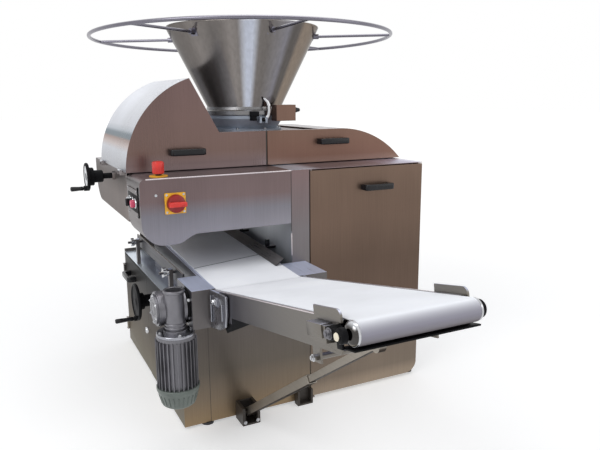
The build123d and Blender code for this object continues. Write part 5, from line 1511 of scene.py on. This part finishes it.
class DIVIDER_OT_pivots(bpy.types.Operator):
    """Cut the bright pivot plates at the outfeed's hinge"""

    bl_idname = "divider.pivots"
    bl_label = "Pivot plates"

    def execute(self, context):
        corners = [
            (-197, 625, 0), (-197, 485, 0), (-300, 508, 10), (-351, 535.5, 14), (-365, 585, 10),
            (-365, 647, 8), (-338, 647, 8),
        ]
        outline = rounded_outline(corners)
        thick = 9
        left_x, right_x = PIVOT_PLATE_X
        shapes = []
        for x in (left_x, right_x - thick):
            shapes.append((add_prism, outline, (0, thick), place_at((x, 0, 0), BACK, RIGHT), 2.0))
        boss = [(0, 0), (21, 0), (21, 4), (18, 6), (0, 6)]
        for x, side in ((left_x, LEFT), (right_x, RIGHT)):
            low, high = sorted((x, x + 5 * side[0]))
            shapes.append((add_turned, boss, (x, *PIVOT), side, 40))
            for y, bottom in ((-214, 512), (-330, 552)):
                shapes.append((add_box, (low, y - 5, bottom), (high, y + 5, 612), 2.0))
        build("pivot_plates", "machine", "zinc", "chrome", *shapes)
        return {"FINISHED"}


def machine_bolts():
    """Places of the bolts on the machine's body."""
    places = circle_places((-552, *DRIVE), LEFT, 46, 6, 4.5, 0.3)
    places += circle_places((*WORM[:2], 484.6), UP, 55, 4, 6.0, math.radians(45))
    places += circle_places((*HOPPER_CENTRE[:2], 1158), UP, 160, 8, 6.0, 0.2)
    rim_r = 66
    for cosine, sine in around(6, math.radians(30)):
        point = (-439, DRIVE[0] + rim_r * cosine, DRIVE[1] + rim_r * sine)
        places.append((point, (0, cosine, sine), 4.5))
    for x, facing in ((-373, LEFT), (19, RIGHT)):
        places.append(((x, *PIVOT), facing, 11.0))
    for x in (-150, -204):
        places.append(((x, -92, 14), FRONT, 5.5))
    return places


def machine_screws():
    """Places of the screws of the main switch, the side plate and the back panel."""
    switch_x, switch_y, switch_z = MAIN_SWITCH
    places = []
    for x in (switch_x - 32, switch_x + 32):
        for z in (switch_z - 32, switch_z + 32):
            places.append(((x, switch_y - 4.4, z), FRONT, 3.0))
    for y in (30, 178):
        for z in (869, 961):
            places.append(((SIDE_PLATE_X - 3, y, z), LEFT, 3.0))
    for x in (-300, -60, 180, 420, 660):
        for z in (40, 970):
            places.append(((x, BACK_Y, z), BACK, 4.0))
    return places


class DIVIDER_OT_fasteners(bpy.types.Operator):
    """Place the bolts and screws"""

    bl_idname = "divider.fasteners"
    bl_label = "Bolts and screws"

    def execute(self, context):
        hexagon = fastener_tree("hexagon_bolt", 6)
        button = fastener_tree("button_screw", 24)
        fasteners("machine_bolts", hexagon, "machine", machine_bolts(), "chrome")
        fasteners("machine_screws", button, "machine", machine_screws(), "chrome")
        bosses = ((on_outfeed(-383, *END_BOSS), LEFT, 10.5), (on_outfeed(12.3, *END_BOSS), RIGHT, 9.0))
        fasteners("boss_bolts", button, "outfeed", bosses, "motor")
        shaft = ((on_outfeed(-365, *STRUT_TOP), LEFT, 7.0), (on_outfeed(11, *STRUT_TOP), RIGHT, 7.0))
        fasteners("outfeed_bolts", hexagon, "outfeed", shaft, "chrome")
        return {"FINISHED"}


class DIVIDER_OT_sheet_details(bpy.types.Operator):
    """Add the locks, the folded edges with painted highlights, the front panel's seam, painted light in the
    tunnel and painted shade between the hoods
    """

    bl_idname = "divider.sheet_details"
    bl_label = "Sheet-metal details"

    def execute(self, context):
        y = FRONT_Y
        lock = [(0, 0.02), (9.5, 0.02), (9.5, 2.2), (8, 3.6), (6.2, 3.8), (5.6, 2.6), (0, 2.6)]
        small = (add_turned, [(r * 0.62, h) for r, h in lock], (-496, y, 949), FRONT, 36)
        build("box_lock", "machine", "chrome", "chrome", small)
        large = (add_turned, [(r * 1.7, h * 3) for r, h in lock], (BASE_LEFT_X, 566, 223), LEFT, 36)
        build("side_door_lock", "left_side_door", "chrome", "chrome", large)
        # Light strips along the box's top edge and the jamb's lower edge: painted highlights on the folds
        build(
            "fold_highlights", "machine", "fold", "stainless",
            (add_box, (-530, y - 1.4, TABLE_Z - 4), (50, y + 3, TABLE_Z + 0.8), 1.6),
            (add_box, (47.5, y - 1.0, 660), (51.5, y + 3, 752), 1.2),
        )
        build(
            "front_seams", "machine", "bracket", "stainless",
            (add_box, (-321.2, y - 0.4, 12), (-319.4, y + 1, 484), 0.15),
            (add_box, (47.6, y - 0.4, 762), (49.4, y + 1, TABLE_Z - 5), 0.15),
        )
        # A pale sheet on the tunnel's right wall: painted light
        lining = (add_box, (49.1, -6, 506), (49.9, 716, 790), 0.2)
        build("tunnel_lining", "machine", "lining", "stainless", lining)
        # A dark strip in the gap between the hoods: painted shade
        gap_shade = (add_box, (24.6, HOOD_FRONT_Y - 0.6, 1016), (28.4, HOOD_FRONT_Y + 1, 1157), 0.2)
        build("hood_gap_shade", "left_hood", "bracket", "black_plastic", gap_shade)
        return {"FINISHED"}


# Stage

SKY_TONE = (0.95, 0.97, 1.0)
SKY_STRENGTH = 0.5
# Name, place, target, power and size of each lamp
LAMPS = (
    ("key_light", (-3.6, -1.6, 3.6), (0.0, 0.2, 0.8), 70.0, 2.6),
    ("top_light", (0.4, -0.4, 4.6), (0.0, 0.2, 0.9), 46.0, 3.2),
    ("right_fill", (3.6, -3.0, 2.2), (0.2, 0.0, 0.8), 20.0, 2.6),
)


def lay_floor(colour):
    """A floor that takes the machine's shadow near it and glows as white as the sky further out."""
    near, far = 1.8, 3.6
    glow = 0.4
    finish = Finish("studio_floor_paint")
    inputs = {0: finish.coordinates["Object"]}
    distance = finish.node("ShaderNodeVectorMath", inputs, operation="LENGTH")["Value"]
    away = finish.spread(distance, 0.0, 1.0, near, far)
    finish.surface(
        {
            "Base Color": finish.mix(away, colour, (0.0, 0.0, 0.0)),
            "Emission Color": WHITE,
            "Emission Strength": finish.spread(away, glow, 1.0, 0.0, 1.0),
            "Roughness": 0.9,
        }
    )
    bm = bmesh.new()
    bmesh.ops.create_grid(bm, x_segments=2, y_segments=2, size=40.0)
    new_object("studio_floor", bm, finish.material)


def set_sky(scene):
    """A soft sky that looks white to the camera and in reflections."""
    scene.world = bpy.data.worlds.new("studio")
    scene.world.use_nodes = True
    tree = scene.world.node_tree
    soft = tree.nodes["Background"]
    put(tree, soft.inputs["Color"], SKY_TONE)
    put(tree, soft.inputs["Strength"], SKY_STRENGTH)
    white = add_node(tree, "ShaderNodeBackground", {"Color": WHITE, "Strength": 1.0})
    rays = add_node(tree, "ShaderNodeLightPath")
    seen = rays["Is Camera Ray"]
    for label in ("Is Glossy Ray", "Is Transmission Ray"):
        seen = add_node(tree, "ShaderNodeMath", {0: seen, 1: rays[label]}, operation="MAXIMUM")[0]
    mixed = add_node(tree, "ShaderNodeMixShader", {0: seen, 1: soft.outputs[0], 2: white[0]})
    put(tree, tree.nodes["World Output"].inputs["Surface"], mixed[0])


def hang_lamps(scene):
    """Large soft lamps."""
    for name, place, target, power, size in LAMPS:
        data = bpy.data.lights.new(name, "AREA")
        data.energy = power
        data.size = size
        lamp = bpy.data.objects.new(name, data)
        lamp.location = place
        lamp.rotation_euler = (Vector(target) - Vector(place)).to_track_quat("-Z", "Y").to_euler()
        scene.collection.objects.link(lamp)


def set_camera(scene, view):
    """The camera, turned by its yaw, pitch and roll."""
    yaw, pitch, roll = view.yaw, view.pitch, view.roll
    ahead = Vector((math.sin(yaw) * math.cos(pitch), math.cos(yaw) * math.cos(pitch), -math.sin(pitch)))
    right = Vector((math.cos(yaw), -math.sin(yaw), 0))
    above = right.cross(ahead)
    rolled_right = right * math.cos(roll) + above * math.sin(roll)
    rolled_up = above * math.cos(roll) - right * math.sin(roll)
    data = bpy.data.cameras.new("photo_camera")
    data.sensor_fit = "HORIZONTAL"
    data.sensor_width = 36.0
    data.lens = view.focal_length
    data.clip_end = 100.0
    camera = bpy.data.objects.new("photo_camera", data)
    turn = Matrix((rolled_right, rolled_up, -ahead)).transposed().to_4x4()
    camera.matrix_world = Matrix.Translation(Vector(view.camera_place)) @ turn
    scene.collection.objects.link(camera)
    scene.camera = camera


class DIVIDER_OT_stage(bpy.types.Operator):
    """Set the floor, the soft studio light and the camera"""

    bl_idname = "divider.stage"
    bl_label = "Stage"

    def execute(self, context):
        scene = context.scene
        lay_floor(scene.divider_view.floor_colour)
        set_sky(scene)
        hang_lamps(scene)
        set_camera(scene, scene.divider_view)
        scene.view_settings.view_transform = "Standard"
        return {"FINISHED"}


# Add-on

BUILDERS = (
    DIVIDER_OT_finishes,
    DIVIDER_OT_casings,
    DIVIDER_OT_hopper,
    DIVIDER_OT_guard_ring,
    DIVIDER_OT_clamp,
    DIVIDER_OT_handles,
    DIVIDER_OT_handwheels,
    DIVIDER_OT_switches,
    DIVIDER_OT_belt,
    DIVIDER_OT_gearmotor,
    DIVIDER_OT_outfeed_end,
    DIVIDER_OT_pivots,
    DIVIDER_OT_fasteners,
    DIVIDER_OT_sheet_details,
    DIVIDER_OT_stage,
)
GROUPS = (
    ("divider_steel", SteelFinish),
    ("divider_plastic", PlasticFinish),
    ("divider_guard", GuardSizes),
    ("divider_view", ViewSettings),
)


class DIVIDER_PT_panel(bpy.types.Panel):
    """The dough divider's builders and settings"""

    bl_label = "Dough divider"
    bl_idname = "DIVIDER_PT_panel"
    bl_space_type = "VIEW_3D"
    bl_region_type = "UI"
    bl_category = "Dough divider"

    def draw(self, context):
        for builder in BUILDERS:
            self.layout.operator(builder.bl_idname)
        for label, group in GROUPS:
            settings = getattr(context.scene, label)
            for key in group.__annotations__:
                self.layout.prop(settings, key)


def register():
    """Register the settings, the operators and the panel."""
    for label, group in GROUPS:
        bpy.utils.register_class(group)
        setattr(bpy.types.Scene, label, bpy.props.PointerProperty(type=group))
    for builder in BUILDERS:
        bpy.utils.register_class(builder)
    bpy.utils.register_class(DIVIDER_PT_panel)


def unregister():
    """Take everything out again."""
    bpy.utils.unregister_class(DIVIDER_PT_panel)
    for builder in reversed(BUILDERS):
        bpy.utils.unregister_class(builder)
    for label, group in reversed(GROUPS):
        delattr(bpy.types.Scene, label)
        bpy.utils.unregister_class(group)


def main():
    """Build the whole scene."""
    register()
    for builder in BUILDERS:
        group, label = builder.bl_idname.split(".")
        getattr(getattr(bpy.ops, group), label)()


if __name__ == "__main__":
    main()
